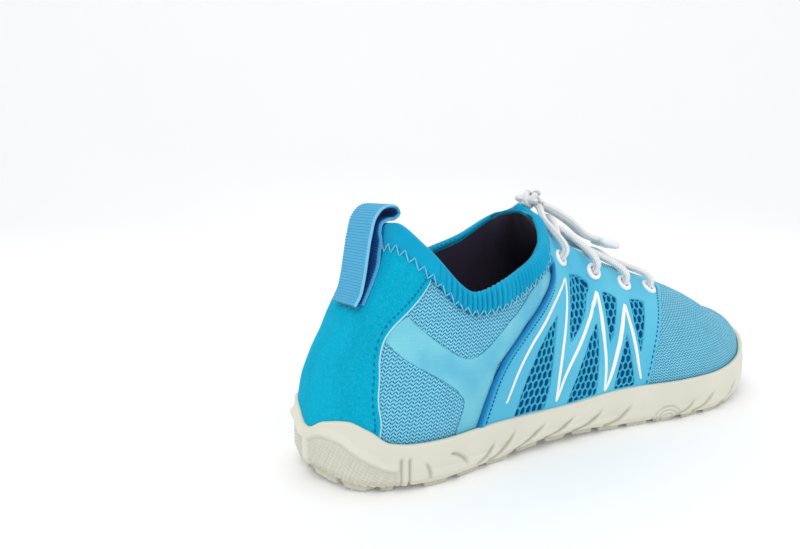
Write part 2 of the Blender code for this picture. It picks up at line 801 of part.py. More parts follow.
def edge_distance(points, loop):
    """Distance in metres from flat points to a closed loop."""
    start, end = loop * FLAT, np.roll(loop, -1, 0) * FLAT
    way = end - start
    reach = np.maximum((way**2).sum(1), 1e-18)
    offset = points[:, None] * FLAT - start
    share = np.clip((offset * way).sum(2) / reach, 0, 1)
    return np.linalg.norm(offset - way * share[..., None], axis=2).min(1)


def grid_points(low_round, high_round):
    places = np.concatenate([column_places(), -column_places()[1:], 1 - column_places()])
    places = np.unique(places[(places > low_round) & (places < high_round)].round(9))
    return np.stack(np.meshgrid(places, ROW_PLACES[1:-1]), -1).reshape(-1, 2)


def skin_step(round_, up, aside, along):
    """Flat move that shifts a place on the skin by two small lengths, across and along its plane."""
    near = 1e-4
    here = skin(round_, up)
    by_round = (skin(round_ + near, up) - here) / near
    by_up = (skin(round_, up + near) - here) / near
    across = by_round / np.linalg.norm(by_round)
    upward = np.cross(skin_out(round_, up), across)
    frame = np.array([[across @ by_round, across @ by_up], [upward @ by_round, upward @ by_up]])
    return np.linalg.solve(frame, [aside, along])


def ring_on_skin(round_, up, radius, sides):
    turns = np.arange(sides) * 2 * math.pi / sides
    steps = [skin_step(round_, up, radius * math.cos(a), radius * math.sin(a)) for a in turns]
    return np.array([round_, up]) + np.array(steps)


def build_panel(name, outline_loop, holes, low, high, finish, ridges=()):
    """Overlay cut from the upper's own face: flat outline and holes, triangulated and put over the skin."""
    loops = [outline_loop, *holes]
    points = [*np.concatenate([*loops, *(ridge for ridge, _ in ridges)])] if ridges else [*np.concatenate(loops)]
    edges = []
    start = 0
    for loop in loops:
        edges += [(start + k, start + (k + 1) % len(loop)) for k in range(len(loop))]
        start += len(loop)
    for ridge, _ in ridges:
        edges += [(start + k, start + k + 1) for k in range(len(ridge) - 1)]
        start += len(ridge)
    grid = grid_points(outline_loop[:, 0].min(), outline_loop[:, 0].max())
    kept = inside(grid, outline_loop)
    for loop in loops:
        kept &= edge_distance(grid, loop) > GRID_CLEAR
    for hole in holes:
        kept &= ~inside(grid, hole)
    for ridge, _ in ridges:
        kept &= edge_distance(grid, np.concatenate([ridge, ridge[-2:0:-1]])) > GRID_CLEAR * 1.6
    points = np.array(points + [*grid[kept]])
    flat, _, faces, sources, _, _ = delaunay_2d_cdt([Vector(p) for p in points * FLAT], edges, [], 0, 1e-7)
    flat = np.array([tuple(p) for p in flat]) / FLAT
    faces = np.array(faces)
    middles = flat[faces].mean(1)
    kept = inside(middles, outline_loop)
    for hole in holes:
        kept &= ~inside(middles, hole)
    faces = faces[kept]
    raised = np.zeros(len(flat))
    for ridge, lift in ridges:
        near = np.linalg.norm((flat[:, None] - ridge[None]) * FLAT, axis=2).min(1)
        raised = np.where(near < 1e-6, lift, raised)
    used = np.unique(faces)
    bm = bmesh.new()
    under = dict(zip(used, over_skin(flat[used, 0], flat[used, 1], np.full(len(used), low))))
    over = dict(zip(used, over_skin(flat[used, 0], flat[used, 1], high + raised[used])))
    below = {k: bm.verts.new(under[k]) for k in used}
    above = {k: bm.verts.new(over[k]) for k in used}
    sides = {}
    for a, b, c in faces:
        bm.faces.new((above[a], above[b], above[c]))
        bm.faces.new((below[c], below[b], below[a]))
        for first, last in ((a, b), (b, c), (c, a)):
            if (last, first) in sides:
                del sides[(last, first)]
            else:
                sides[(first, last)] = True
    for first, last in sides:
        bm.faces.new((above[first], below[first], below[last], above[last]))
    return finish_object(name, bm, finish, 35)


def mirrored(loop):
    """The same flat loop on the inner side."""
    return np.stack([1 - loop[:, 0], loop[:, 1]], 1)[::-1]


def rows_above(rows):
    """Rows of a panel's edge, from the sole's line up."""
    clear = [up > float(above_sole(place)) for place, up in rows]
    first = clear.index(True)
    high = np.array(rows[first])
    low = np.array(rows[max(first - 1, 0)])
    foot = high
    for _ in range(30):
        foot = (low + high) / 2
        above = foot[1] > float(above_sole(foot[0]))
        low, high = (low, foot) if above else (foot, high)
    if first == 0:
        foot = np.array([foot[0], float(above_sole(foot[0]))])
    return [tuple(foot), *rows[first:]]


def build_band(finish):
    """Stretch band round the collar."""
    seam = [(place, up) for place, up in BAND_SEAM if place < COLLAR_FRONT]
    end = COLLAR_FRONT - BAND_END
    seam = [*[row for row in seam if row[0] < end], (end, BAND_SEAM[-1][1])]
    lower = spread([(-place, up) for place, up in reversed(seam[1:])] + seam)
    top = spread([(end, UPPER_END), (-end, UPPER_END)])
    low = SEAT + BAND_LIFT
    return build_panel("collar_band", np.concatenate([lower, top]), [], low, low + BAND_THICK, finish)


def build_counter(finish):
    """Napped panel round the heel, from the sole to the band."""
    side = rows_above(COUNTER_FRONT)
    top_up = np.array([up for place, up in BAND_SEAM if place < side[-1][0]]) - BAND_SEAM_GAP
    top_at = np.array([place for place, _ in BAND_SEAM if place < side[-1][0]])
    top = [*zip(top_at, top_up)]
    top = [*reversed(top), *[(-place, up) for place, up in top[1:]]]
    foot = side[0][0]
    front = spread(side)
    back = spread([(-place, up) for place, up in reversed(side)])
    loop = np.concatenate([front, spread(top), back, along_sole(-foot, foot, 15)[1:-1]])
    return build_panel("heel_counter", loop, [], SEAT, SEAT + COUNTER_THICK, finish)


def film_loop():
    gap = PANEL_GAP / FLAT[0]
    counter = [(place + gap, up) for place, up in COUNTER_FRONT if FILM_LOW[-1][1] < up < FILM_TOP[0][1]]
    top = [(FILM_TOP[0][0] + gap, FILM_TOP[0][1]), *FILM_TOP[1:]]
    low = [*rows_above(FILM_LOW)[:-1], (FILM_LOW[-1][0] + gap, FILM_LOW[-1][1])]
    saddle = [(place - gap, up) for place, up in reversed(rows_above(SADDLE_REAR)) if up < FILM_TOP[-1][1] - 0.02]
    sole = along_sole(saddle[-1][0], low[0][0], 4)
    return np.concatenate([spread(counter + top + saddle), sole[1:-1], spread(low)])


def saddle_loop():
    rear = rows_above(SADDLE_REAR)
    front = [*reversed(rows_above(tuple(reversed(SADDLE_FRONT))))]
    edge = spread([*rear, *EYESTAY_EDGE, *front[1:]])
    return np.concatenate([edge, along_sole(front[-1][0], rear[0][0], 18)[1:-1]])


def window_loops():
    """Open windows: the upper ones are closed triangles, the lower ones stop above the sole."""
    loops = []
    for corners in WINDOWS.values():
        corners = [(place, max(up, float(above_sole(place)) + WINDOW_FOOT)) for place, up in corners]
        loops.append(spread(corners, closed=True, step=EDGE_STEP * 1.8))
    return loops


def build_saddle(name, finish, mirror):
    holes = window_loops()
    holes += [ring_on_skin(place, up, EYELET_OUTER / 2 + EYELET_CLEAR, 8) for place, up in EYELETS]
    bead = np.array([(place + BEAD_IN / FLAT[0], up) for place, up in rows_above(SADDLE_REAR) if up < 0.8])
    bead[0, 1] += BEAD_FOOT
    crest = spread(bead)
    foot = spread(bead + np.array([BEAD_IN / FLAT[0] * 0.9, 0]))
    loop = saddle_loop()
    ridges = [(crest, BEAD_HEIGHT), (foot, 0.0)]
    if mirror:
        loop, holes = mirrored(loop), [mirrored(hole) for hole in holes]
        ridges = [(mirrored(line), lift) for line, lift in ridges]
    low = SEAT + SADDLE_LIFT
    return build_panel(name, loop, holes, low, low + SADDLE_THICK, finish, ridges)


def ribbon_loop(path, width):
    """Outline of a flat ribbon along a path of flat points, with square corners."""
    line = np.asarray(path, float) * FLAT
    way = np.diff(line, axis=0)
    way /= np.linalg.norm(way, axis=1, keepdims=True)
    left = np.stack([-way[:, 1], way[:, 0]], 1) * width / 2
    sides = []
    for sign in (1, -1):
        side = [line[0] + sign * left[0]]
        for k in range(1, len(line) - 1):
            before, after = sign * left[k - 1], sign * left[k]
            middle = before + after
            reach = (width / 2) ** 2 / max((middle @ middle) / 4, (width / 5) ** 2)
            side.append(line[k] + middle / 2 * min(reach, 3.0))
        side.append(line[-1] + sign * left[-1])
        sides.append(side)
    return np.array([*sides[0], *reversed(sides[1])]) / FLAT


def build_zigzag(name, finish, mirror):
    """Raised line on the saddle, one ribbon with sharp turns."""
    loop = spread(ribbon_loop(ZIGZAG, ZIGZAG_WIDTH), closed=True, step=EDGE_STEP * 1.7)
    base = SEAT + SADDLE_LIFT + SADDLE_THICK + SEAT
    loop = mirrored(loop) if mirror else loop
    return build_panel(name, loop, [], base, base + ZIGZAG_THICK, finish)


EYELET_SIDES = 10


def build_eyelet(name, place, up, finish, mirror):
    """Ring in the saddle's hole."""
    place = 1 - place if mirror else place
    out = skin_out(place, up)
    centre = skin(place, up) + out * (SEAT + EYELET_LIFT)
    side = np.cross(out, [0, 0, 1.0])
    side /= np.linalg.norm(side)
    lift = np.cross(side, out)
    bore, rim = EYELET_BORE / 2, EYELET_OUTER / 2
    profile = ((bore, 0), (rim, 0), (rim, EYELET_THICK * 0.7), ((bore + rim) / 2, EYELET_THICK))
    rings = []
    for radius, height in profile:
        turns = np.arange(EYELET_SIDES) * 2 * math.pi / EYELET_SIDES
        rings.append([centre + out * height + radius * (math.cos(a) * side + math.sin(a) * lift) for a in turns])
    bm, _ = loft(rings, closed=True)
    return finish_object(name, bm, finish)


def beside_edge(eyelet):
    """Where a strand from the other side goes under the saddle's edge, just ahead of an eyelet."""
    places, ups = columns(EYESTAY_EDGE)
    place = eyelet[0] + ARRIVE_AHEAD
    return place, float(np.interp(place, places, ups)) + ARRIVE_ABOVE


def strand(start, end, ridge_at, last, arch, count=STRAND_POINTS):
    """Route of a lace over the instep, from an outer eyelet over the ridge to a place on the inner side."""
    first = LACE_START
    share = np.linspace(first, last, count)
    places, ups = [], []
    for s in share:
        from_, on = (start, s * 2) if s < 0.5 else (end, 2 - s * 2)
        place = from_[0] + (ridge_at - from_[0]) * on
        places.append(place if s < 0.5 else 1 - place)
        ups.append(min(from_[1] + (1 - from_[1]) * on, UPPER_END))
    bow = np.sin(np.clip((share - first) / (last - first), 0, 1) * math.pi)
    over = LACE_OVER_SADDLE + (LACE_OVER_VAMP - LACE_OVER_SADDLE) * ease(share, first, first + 0.3)
    height = over + arch * bow
    return over_skin(np.array(places), np.array(ups), height)


def build_crossing(name, front, rear, finish):
    """Two strands that cross on the instep, joined where one passes over the other."""
    end = beside_edge(rear)
    ridge_at = max((front[0] + end[0]) / 2, LACE_RIDGE)
    first = tube(strand(front, end, ridge_at, 1.0, 0.0), LACE_DIAMETER / 2, STRAND_SIDES, name, finish)
    mirror = strand(front, end, ridge_at, 1.0, LACE_PASS) * np.array([-1, 1, 1])
    second = helper(tube(mirror, LACE_DIAMETER / 2, STRAND_SIDES, name + "_over", finish))
    joined = first.modifiers.new("cross", "BOOLEAN")
    joined.operation = "UNION"
    joined.object = second
    return first


def build_top_strand(name, finish, mirror):
    """Strand from the last eyelet up to the knot."""
    points = strand(EYELETS[0], EYELETS[0], TOP_RIDGE, 1.0, 0.0, TOP_POINTS)
    points = points[points[:, 0] > KNOT_SHAPE[0] * KNOT_SIZE / 2 + LACE_DIAMETER / 2 + KNOT_PLACE[0]]
    side = np.array([-1, 1, 1]) if mirror else np.ones(3)
    return tube(points * side, LACE_DIAMETER / 2, STRAND_SIDES, name, finish)


def build_cord_end(name, points, finish):
    """Free end of the lace, from the knot to the clip."""
    curve = bpy.data.curves.new(name, "CURVE")
    curve.dimensions = "3D"
    curve.bevel_depth = LACE_DIAMETER / 2
    curve.bevel_resolution = 2
    curve.use_fill_caps = True
    route = smooth_route(np.array(points) - np.array([0, HEEL_REST_FROM_BACK, 0]), END_POINTS)
    spline = curve.splines.new("POLY")
    spline.points.add(len(route) - 1)
    for point, place in zip(spline.points, route):
        point.co = (*place, 1.0)
    curve.materials.append(finish)
    made = bpy.data.objects.new(name, curve)
    bpy.context.scene.collection.objects.link(made)
    return made


def smooth_route(points, count):
    """Points read from a smooth curve through a route's own points."""
    reach = np.concatenate([[0], np.cumsum(np.linalg.norm(np.diff(points, axis=0), axis=1))])
    at = np.linspace(0, reach[-1], count)
    tangent = np.gradient(points, reach, axis=0)
    k = np.clip(np.searchsorted(reach, at, side="right") - 1, 0, len(points) - 2)
    step = (reach[k + 1] - reach[k])[:, None]
    s = (at - reach[k])[:, None] / step
    place = (2 * s**3 - 3 * s**2 + 1) * points[k] + (s**3 - 2 * s**2 + s) * step * tangent[k]
    return place + (3 * s**2 - 2 * s**3) * points[k + 1] + (s**3 - s**2) * step * tangent[k + 1]


def build_knot(finish):
    """Knot of the lace where the top strands meet."""
    bm = bmesh.new()
    size = np.array(KNOT_SHAPE) * KNOT_SIZE / 2
    bmesh.ops.create_icosphere(bm, subdivisions=2, radius=1.0)
    for vert in bm.verts:
        place = np.array(vert.co) * size
        vert.co = place + np.array(KNOT_PLACE) - np.array([0, HEEL_REST_FROM_BACK, 0])
    return finish_object("lace_knot", bm, finish)


def build_clip(finish):
    """Flat clip that holds both ends of the lace."""
    bm = bmesh.new()
    bmesh.ops.create_cube(bm, size=1.0)
    turn_x = math.radians(CLIP_FALL)
    for vert in bm.verts:
        x, y, z = vert.co.x * CLIP_WIDTH, vert.co.y * CLIP_LENGTH, vert.co.z * CLIP_THICK
        y, z = y * math.cos(turn_x) - z * math.sin(turn_x), y * math.sin(turn_x) + z * math.cos(turn_x)
        vert.co = np.array([x, y, z]) + np.array(CLIP_PLACE) - np.array([0, HEEL_REST_FROM_BACK, 0])
    made = finish_object("lace_clip", bm, finish)
    bevel = made.modifiers.new("edge", "BEVEL")
    bevel.width = CLIP_EDGE
    bevel.segments = 1
    return made


def build_loop(finish):
    """Webbing loop: sewn down the heel, over the collar and back down outside."""
    ups = np.linspace(up_at_height(np.array(0.0), LOOP_BASE_UP) + 0.02, 0.93, 6)
    lift = np.where(ups > BAND_SEAM[0][1] - 0.06, BAND_LIFT + BAND_THICK, COUNTER_THICK)
    lift = lift + SEAT + CLEAR + LOOP_THICK / 2
    inner = over_skin(np.zeros(6), ups, lift + CLEAR)[:, 1:]
    outer = np.array([(y - HEEL_REST_FROM_BACK, z) for y, z in LOOP_OUTER])
    side = np.concatenate([inner, outer])
    bm = bmesh.new()
    columns_at = (-0.5, 0.0, 0.5)
    made = []
    for y, z in side:
        made.append([bm.verts.new((LOOP_ASIDE + share * LOOP_WIDTH, y, z)) for share in columns_at])
    for row, after in zip(made, made[1:]):
        for k in range(len(columns_at) - 1):
            bm.faces.new((row[k], row[k + 1], after[k + 1], after[k]))
    for rows in made[: len(inner)]:
        for vert in rows:
            vert.co.y += (vert.co.x**2) * HEEL_BEND
    loop = finish_object("pull_loop", bm, finish)
    wall = loop.modifiers.new("wall", "SOLIDIFY")
    wall.thickness = LOOP_THICK
    wall.offset = 0.0
    wall.use_even_offset = True
    return loop


def main():
    clear_scene()
    knit = material("knit", (0.20, 0.49, 0.74), 0.85)
    rubber = material("sole_rubber", (0.66, 0.64, 0.54), 0.6)
    foam = material("insole_foam", (0.03, 0.015, 0.06), 0.9)
    build_outsole(rubber)
    build_upper(knit)
    build_insole(foam)
    suede = material("heel_suede", (0.01, 0.41, 0.69), 0.95)
    stretch = material("collar_stretch", (0.01, 0.43, 0.72), 0.8)
    film = material("quarter_film", (0.16, 0.53, 0.75), 0.35)
    overlay = material("saddle_film", (0.10, 0.51, 0.74), 0.4)
    white = material("white_print", (0.85, 0.86, 0.86), 0.4)
    lace = material("lace_cord", (0.82, 0.83, 0.83), 0.7)
    webbing = material("loop_webbing", (0.15, 0.47, 0.72), 0.7)
    build_counter(suede)
    build_band(stretch)
    for side, mirror in (("outer", False), ("inner", True)):
        panel = film_loop()
        build_panel(
            "quarter_film_" + side, mirrored(panel) if mirror else panel, [], SEAT, SEAT + FILM_THICK, film
        )
        build_saddle("saddle_" + side, overlay, mirror)
        build_zigzag("zigzag_" + side, white, mirror)
        for number, (place, up) in enumerate(EYELETS, 1):
            build_eyelet(f"eyelet_{side}_{number}", place, up, white, mirror)
    for number in (1, 2, 3):
        build_crossing(f"lace_cross_{number}", EYELETS[number], EYELETS[number - 1], lace)
    build_top_strand("lace_top_outer", lace, False)
    build_top_strand("lace_top_inner", lace, True)
    build_knot(lace)
    for name, points in LACE_ENDS.items():
        build_cord_end(name, points, lace)
    build_clip(lace)
    build_loop(webbing)


main()
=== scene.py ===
"""Looks of the right water shoe: knit, films, honeycomb windows, suede heel, laces, loop and moulded sole.

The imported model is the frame. Every panel is cut from the same outer face as the upper: a place on it is
given as (round, up), as shares of the way round from the heel's middle and of the height from the sole to the
collar or the ridge of the instep. Metres, +Y to the toe, +X to the outer side, +Z up, origin under the heel.
"""

import math

import bmesh
import bpy
import numpy as np
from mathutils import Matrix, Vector
from mathutils.geometry import delaunay_2d_cdt


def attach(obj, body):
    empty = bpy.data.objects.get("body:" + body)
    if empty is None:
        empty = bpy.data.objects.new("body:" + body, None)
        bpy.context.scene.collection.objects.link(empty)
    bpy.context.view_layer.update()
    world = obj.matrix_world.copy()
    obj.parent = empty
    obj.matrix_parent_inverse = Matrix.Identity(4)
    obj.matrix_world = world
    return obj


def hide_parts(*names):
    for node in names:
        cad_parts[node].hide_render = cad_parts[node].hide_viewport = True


bl_info = {
    "name": "Water Shoe Looks",
    "version": (1, 0, 0),
    "blender": (4, 5, 0),
    "location": "View3D > Sidebar > Water Shoe",
    "description": "Builds the visible pieces of a right water shoe around its packed solids",
    "category": "Object",
}

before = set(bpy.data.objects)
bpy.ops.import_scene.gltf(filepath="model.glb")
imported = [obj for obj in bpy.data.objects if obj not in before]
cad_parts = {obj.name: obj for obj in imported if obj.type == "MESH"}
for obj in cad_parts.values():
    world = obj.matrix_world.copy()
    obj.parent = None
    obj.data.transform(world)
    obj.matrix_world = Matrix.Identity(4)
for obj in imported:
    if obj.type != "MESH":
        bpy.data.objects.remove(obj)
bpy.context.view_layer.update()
MM = 0.001

# Driving sizes, as the solids have them
LENGTH = 0.262
HEEL_BACK = 0.038
HEEL_WIDTH = 0.0645
WAIST_WIDTH = 0.064
BALL_WIDTH = 0.095
TOE_WIDTH = 0.083
COLLAR_WIDTH = 0.065
HEEL_HEIGHT = 0.090
INSTEP_HEIGHT = 0.096
SOLE_SIDE = 0.017
SOLE_BASE = 0.0087
TOE_SPRING = 0.012
CUP_WALL = 0.0035
CUP_RIM = 0.0022
LUG_DEPTH = 0.0022
UPPER_WALL = 0.002
INSOLE_THICK = 0.004
CLEAR = 0.0003
FLOOR_FOLLOWS = 0.85
LACE_DIAMETER = 0.0030
LOOP_WIDTH = 0.017
LOOP_THICK = 0.0012
LOOP_ASIDE = 0.0013
CLIP_LENGTH = 0.013
CLIP_WIDTH = 0.0090
CLIP_THICK = 0.0042

WIDTHS = {"heel": HEEL_WIDTH, "waist": WAIST_WIDTH, "ball": BALL_WIDTH, "toe": TOE_WIDTH}

# Sole outline: along = share of LENGTH; outer, inner = shares of the width that the row names
OUTLINE = (
    # along, outer, inner, width
    (0.027, 0.332, 0.332, "heel"),
    (0.115, 0.498, 0.498, "heel"),
    (0.252, 0.505, 0.458, "waist"),
    (0.382, 0.531, 0.475, "waist"),
    (0.515, 0.401, 0.385, "ball"),
    (0.641, 0.488, 0.465, "ball"),
    (0.748, 0.504, 0.494, "ball"),
    (0.863, 0.482, 0.510, "toe"),
    (0.962, 0.253, 0.352, "toe"),
)
TIP_ASIDE = -0.072

# Underside: along = share of LENGTH; rise = share of TOE_SPRING
TREAD_RISE = (
    # along, rise
    (0.0, 0.32),
    (0.035, 0.07),
    (0.075, 0.0),
    (0.24, 0.0),
    (0.33, 0.19),
    (0.42, 0.16),
    (0.51, 0.0),
    (0.72, 0.0),
    (0.86, 0.33),
    (1.0, 1.0),
)

# Top line of the cup sole: round; height = share of SOLE_SIDE
CUP_LINE = (
    # round, height
    (0.0, 1.15),
    (0.0035, 1.17),
    (0.015, 1.38),
    (0.032, 1.49),
    (0.046, 1.33),
    (0.059, 1.05),
    (0.075, 0.98),
    (0.12, 0.99),
    (0.19, 0.95),
    (0.26, 1.06),
    (0.33, 1.08),
    (0.39, 1.22),
    (0.44, 1.55),
    (0.5, 1.75),
)

# Collar edge: aside = share of half COLLAR_WIDTH; along = share of LENGTH; height = share of HEEL_HEIGHT
COLLAR = (
    # round, aside, along, height
    (0.0, 0.0, 0.110, 0.994),
    (0.03, 0.385, 0.119, 1.000),
    (0.06, 0.692, 0.150, 0.897),
    (0.10, 0.923, 0.206, 0.730),
    (0.13, 1.0, 0.251, 0.772),
    (0.165, 0.969, 0.300, 0.830),
    (0.20, 0.769, 0.355, 0.905),
    (0.225, 0.415, 0.390, 1.010),
    (0.24, 0.0, 0.401, 1.055),
)
COLLAR_FRONT = 0.24
FAN_START = 0.42
FAN_BLEND = 0.06
RIDGE_BLEND = (COLLAR_FRONT - 0.04, COLLAR_FRONT + 0.02)

# Ridge of the instep: aside = share of BALL_WIDTH; along = share of LENGTH; height = share of INSTEP_HEIGHT
RIDGE = (
    # on, aside, along, height
    (0.0, 0.0, 0.401, 0.989),
    (0.2, 0.0, 0.477, 0.831),
    (0.45, 0.0, 0.580, 0.717),
    (0.7, -0.02, 0.695, 0.625),
    (0.88, -0.042, 0.809, 0.500),
    (1.0, -0.063, 0.885, 0.430),
)

# Section of the upper: swell = outward pull as a share of HEEL_WIDTH; rise = lower handle as one of the height
SECTION = (
    # round, swell, rise, lean
    (0.0, 0.093, 0.40, -0.10),
    (0.06, 0.087, 0.40, 0.0),
    (0.13, 0.064, 0.40, 0.18),
    (0.20, 0.062, 0.41, 0.20),
    (0.30, 0.078, 0.50, 0.20),
    (0.42, 0.093, 0.75, 0.20),
    (0.5, 0.093, 0.90, 0.20),
)
COLLAR_HANDLE = 0.30
RIDGE_HANDLE = 0.55

# Panels of the outer side, as (round, up); the inner side mirrors them
COUNTER_FRONT = ((0.053, 0.14), (0.053, 0.184), (0.048, 0.274), (0.0465, 0.351), (0.042, 0.446))
COUNTER_FRONT += ((0.0425, 0.53), (0.052, 0.657), (0.061, 0.82), (0.0625, 0.872))
BAND_SEAM = ((0.0, 0.885), (0.03, 0.883), (0.048, 0.877), (0.061, 0.871), (0.073, 0.86), (0.085, 0.859))
BAND_SEAM += ((0.099, 0.868), (0.112, 0.852), (0.129, 0.845), (0.146, 0.855), (0.17, 0.872), (0.20, 0.88))
BAND_SEAM += ((0.222, 0.885),)
SEAM_FRONT = (0.252, 1.0)
FILM_TOP = ((0.052, 0.642), (0.067, 0.603), (0.090, 0.584), (0.108, 0.566), (0.126, 0.692), (0.150, 0.774))
FILM_TOP += ((0.167, 0.848), (0.187, 0.850), (0.199, 0.834), (0.2055, 0.808))
FILM_LOW = ((0.102, 0.06), (0.102, 0.131), (0.104, 0.235), (0.104, 0.316), (0.090, 0.419), (0.060, 0.447))
FILM_LOW += ((0.0425, 0.502),)
SADDLE_REAR = ((0.119, 0.06), (0.119, 0.112), (0.127, 0.473), (0.153, 0.634), (0.181, 0.735), (0.203, 0.775))
SADDLE_REAR += ((0.209, 0.81), (0.204, 0.845), (0.19, 0.862))
EYESTAY_EDGE = ((0.224, 0.868), (0.231, 0.79), (0.244, 0.71), (0.258, 0.665), (0.289, 0.675), (0.319, 0.695))
EYESTAY_EDGE += ((0.338, 0.745), (0.352, 0.765))
SADDLE_FRONT = ((0.352, 0.765), (0.340, 0.65), (0.314, 0.496), (0.287, 0.271), (0.274, 0.109), (0.273, 0.05))
WINDOWS = (
    # corners of the three upper windows, then of the three lower ones, as (round, up)
    ((0.2295, 0.592), (0.2413, 0.525), (0.2455, 0.505), (0.2425, 0.466), (0.2315, 0.422), (0.2203, 0.396),
     (0.2122, 0.384), (0.2055, 0.380), (0.2087, 0.456), (0.2172, 0.529), (0.2240, 0.570)),
    ((0.2542, 0.474), (0.2612, 0.478), (0.2672, 0.472), (0.2625, 0.424), (0.2558, 0.359), (0.2497, 0.296),
     (0.2447, 0.259), (0.2472, 0.327), (0.2497, 0.381), (0.2522, 0.437)),
    ((0.2815, 0.489), (0.2905, 0.496), (0.2958, 0.490), (0.2885, 0.424), (0.2807, 0.347), (0.2740, 0.276),
     (0.2700, 0.230), (0.2712, 0.288), (0.2735, 0.364), (0.2772, 0.430)),
    ((0.1963, 0.573), (0.1925, 0.521), (0.1875, 0.436), (0.1843, 0.336), (0.1818, 0.235), (0.1795, 0.144),
     (0.1770, 0.060), (0.1507, 0.060), (0.1545, 0.207), (0.1600, 0.323), (0.1683, 0.431), (0.1805, 0.530)),
    ((0.2380, 0.344), (0.2358, 0.298), (0.2320, 0.240), (0.2290, 0.177), (0.2265, 0.110), (0.2250, 0.040),
     (0.1978, 0.040), (0.2033, 0.145), (0.2125, 0.233), (0.2250, 0.310)),
    ((0.2618, 0.303), (0.2610, 0.247), (0.2605, 0.192), (0.2605, 0.137), (0.2605, 0.040), (0.2423, 0.040),
     (0.2467, 0.146), (0.2535, 0.218)),
)
ZIGZAG = (
    # the line's legs from its rear foot to its front one, as (round, up)
    ((0.1408, 0.195), (0.1510, 0.401), (0.1605, 0.495), (0.1720, 0.565), (0.1848, 0.623), (0.1915, 0.644),
     (0.1993, 0.657), (0.2067, 0.657), (0.2145, 0.643), (0.2220, 0.631)),
    ((0.2220, 0.631), (0.2157, 0.583), (0.2060, 0.508), (0.1970, 0.399), (0.1910, 0.271), (0.1870, 0.093)),
    ((0.1870, 0.093), (0.1965, 0.230), (0.2042, 0.288), (0.2135, 0.328), (0.2230, 0.360), (0.2283, 0.376),
     (0.2340, 0.386), (0.2388, 0.399), (0.2425, 0.418), (0.2462, 0.447), (0.2495, 0.473)),
    ((0.2495, 0.473), (0.2465, 0.413), (0.2430, 0.339), (0.2395, 0.263), (0.2368, 0.191), (0.2325, 0.080)),
    ((0.2325, 0.080), (0.2370, 0.112), (0.2430, 0.166), (0.2492, 0.230), (0.2528, 0.264), (0.2560, 0.298),
     (0.2597, 0.335), (0.2637, 0.375), (0.2680, 0.414), (0.2725, 0.452)),
    ((0.2725, 0.452), (0.2692, 0.382), (0.2675, 0.315), (0.2662, 0.243), (0.2656, 0.172), (0.2662, 0.115)),
)
ZIGZAG_WIDTH = 0.0020
EYELETS = ((0.228, 0.69), (0.257, 0.572), (0.289, 0.589), (0.319, 0.608))

# Free leg of the pull loop: along, up from the heel's back and the floor
LOOP_OUTER = (
    # along, up
    (0.0259, 0.0880),
    (0.0268, 0.0908),
    (0.0300, 0.0921),
    (0.0335, 0.0925),
    (0.0354, 0.0940),
    (0.0346, 0.0960),
    (0.0318, 0.0968),
    (0.0285, 0.0961),
    (0.0254, 0.0930),
    (0.0234, 0.0870),
    (0.0218, 0.0790),
    (0.0203, 0.0710),
    (0.0184, 0.0650),
    (0.0165, 0.0622),
)

# Lace ends, from the knot to the clip: aside, along, height in metres from the heel's back and the floor
LACE_ENDS = {
    "lace_end_outer": (
        (0.0064, 0.1129, 0.0958),
        (0.0095, 0.1180, 0.0930),
        (0.0115, 0.1215, 0.0905),
        (0.0125, 0.1265, 0.0872),
        (0.0125, 0.1325, 0.0832),
        (0.0120, 0.1385, 0.0808),
        (0.0112, 0.1440, 0.0797),
    ),
    "lace_end_inner": (
        (0.0024, 0.1151, 0.0950),
        (0.0055, 0.1190, 0.0930),
        (0.0075, 0.1230, 0.0905),
        (0.0085, 0.1280, 0.0874),
        (0.0085, 0.1340, 0.0836),
        (0.0080, 0.1395, 0.0815),
        (0.0074, 0.1440, 0.0803),
    ),
}
KNOT_PLACE = (0.0, 0.1110, 0.0978)
CLIP_PLACE = (0.010, 0.1520, 0.0778)
CLIP_FALL = -14.0

# Soft troughs (below 0) and ridges of the worn cloth: from, to, as (round, up), width and height in mm
CREASES = (
    # round, up, round, up, width, height
    (0.072, 0.80, 0.098, 0.74, 4.0, -0.45),
    (0.094, 0.80, 0.116, 0.70, 4.5, 0.40),
    (0.122, 0.80, 0.140, 0.71, 4.0, -0.40),
    (0.150, 0.80, 0.168, 0.70, 4.5, 0.35),
    (0.070, 0.40, 0.094, 0.22, 6.0, -0.35),
    (0.014, 0.52, 0.046, 0.42, 7.0, -0.35),
    (0.010, 0.30, 0.045, 0.24, 8.0, 0.30),
    (0.356, 0.50, 0.346, 0.82, 6.0, -0.35),
    (0.380, 0.46, 0.372, 0.80, 6.5, 0.30),
    (0.335, 0.85, 0.330, 0.98, 4.0, -0.35),
    (0.330, 0.42, 0.300, 0.24, 6.0, -0.30),
)

# Metres of the flat layout of the panels to a whole way round and a whole height up
FLAT = np.array([0.65, 0.08])
UV_MAP = "cloth"
BACK = np.array([0.0, HEEL_BACK, 0.0])
UPRIGHT = np.array([0.0, 0.0, 1.0])
FACING = {"outer": np.ones(3), "inner": np.array([-1.0, 1.0, 1.0])}

# How finely places are searched, and how points are laid in a flat panel
TINY = 1e-12
NEAR = 1e-4
SOLE_BELOW = 0.6
HALVINGS = 30
AT_ONCE = 4000
CHART_SIZE = (241, 41)
GRID_ROW = 0.87
GRID_CLEAR = 0.45
RIM_ROWS = (0.3, 1.0)
RIM_CLEAR = 0.85


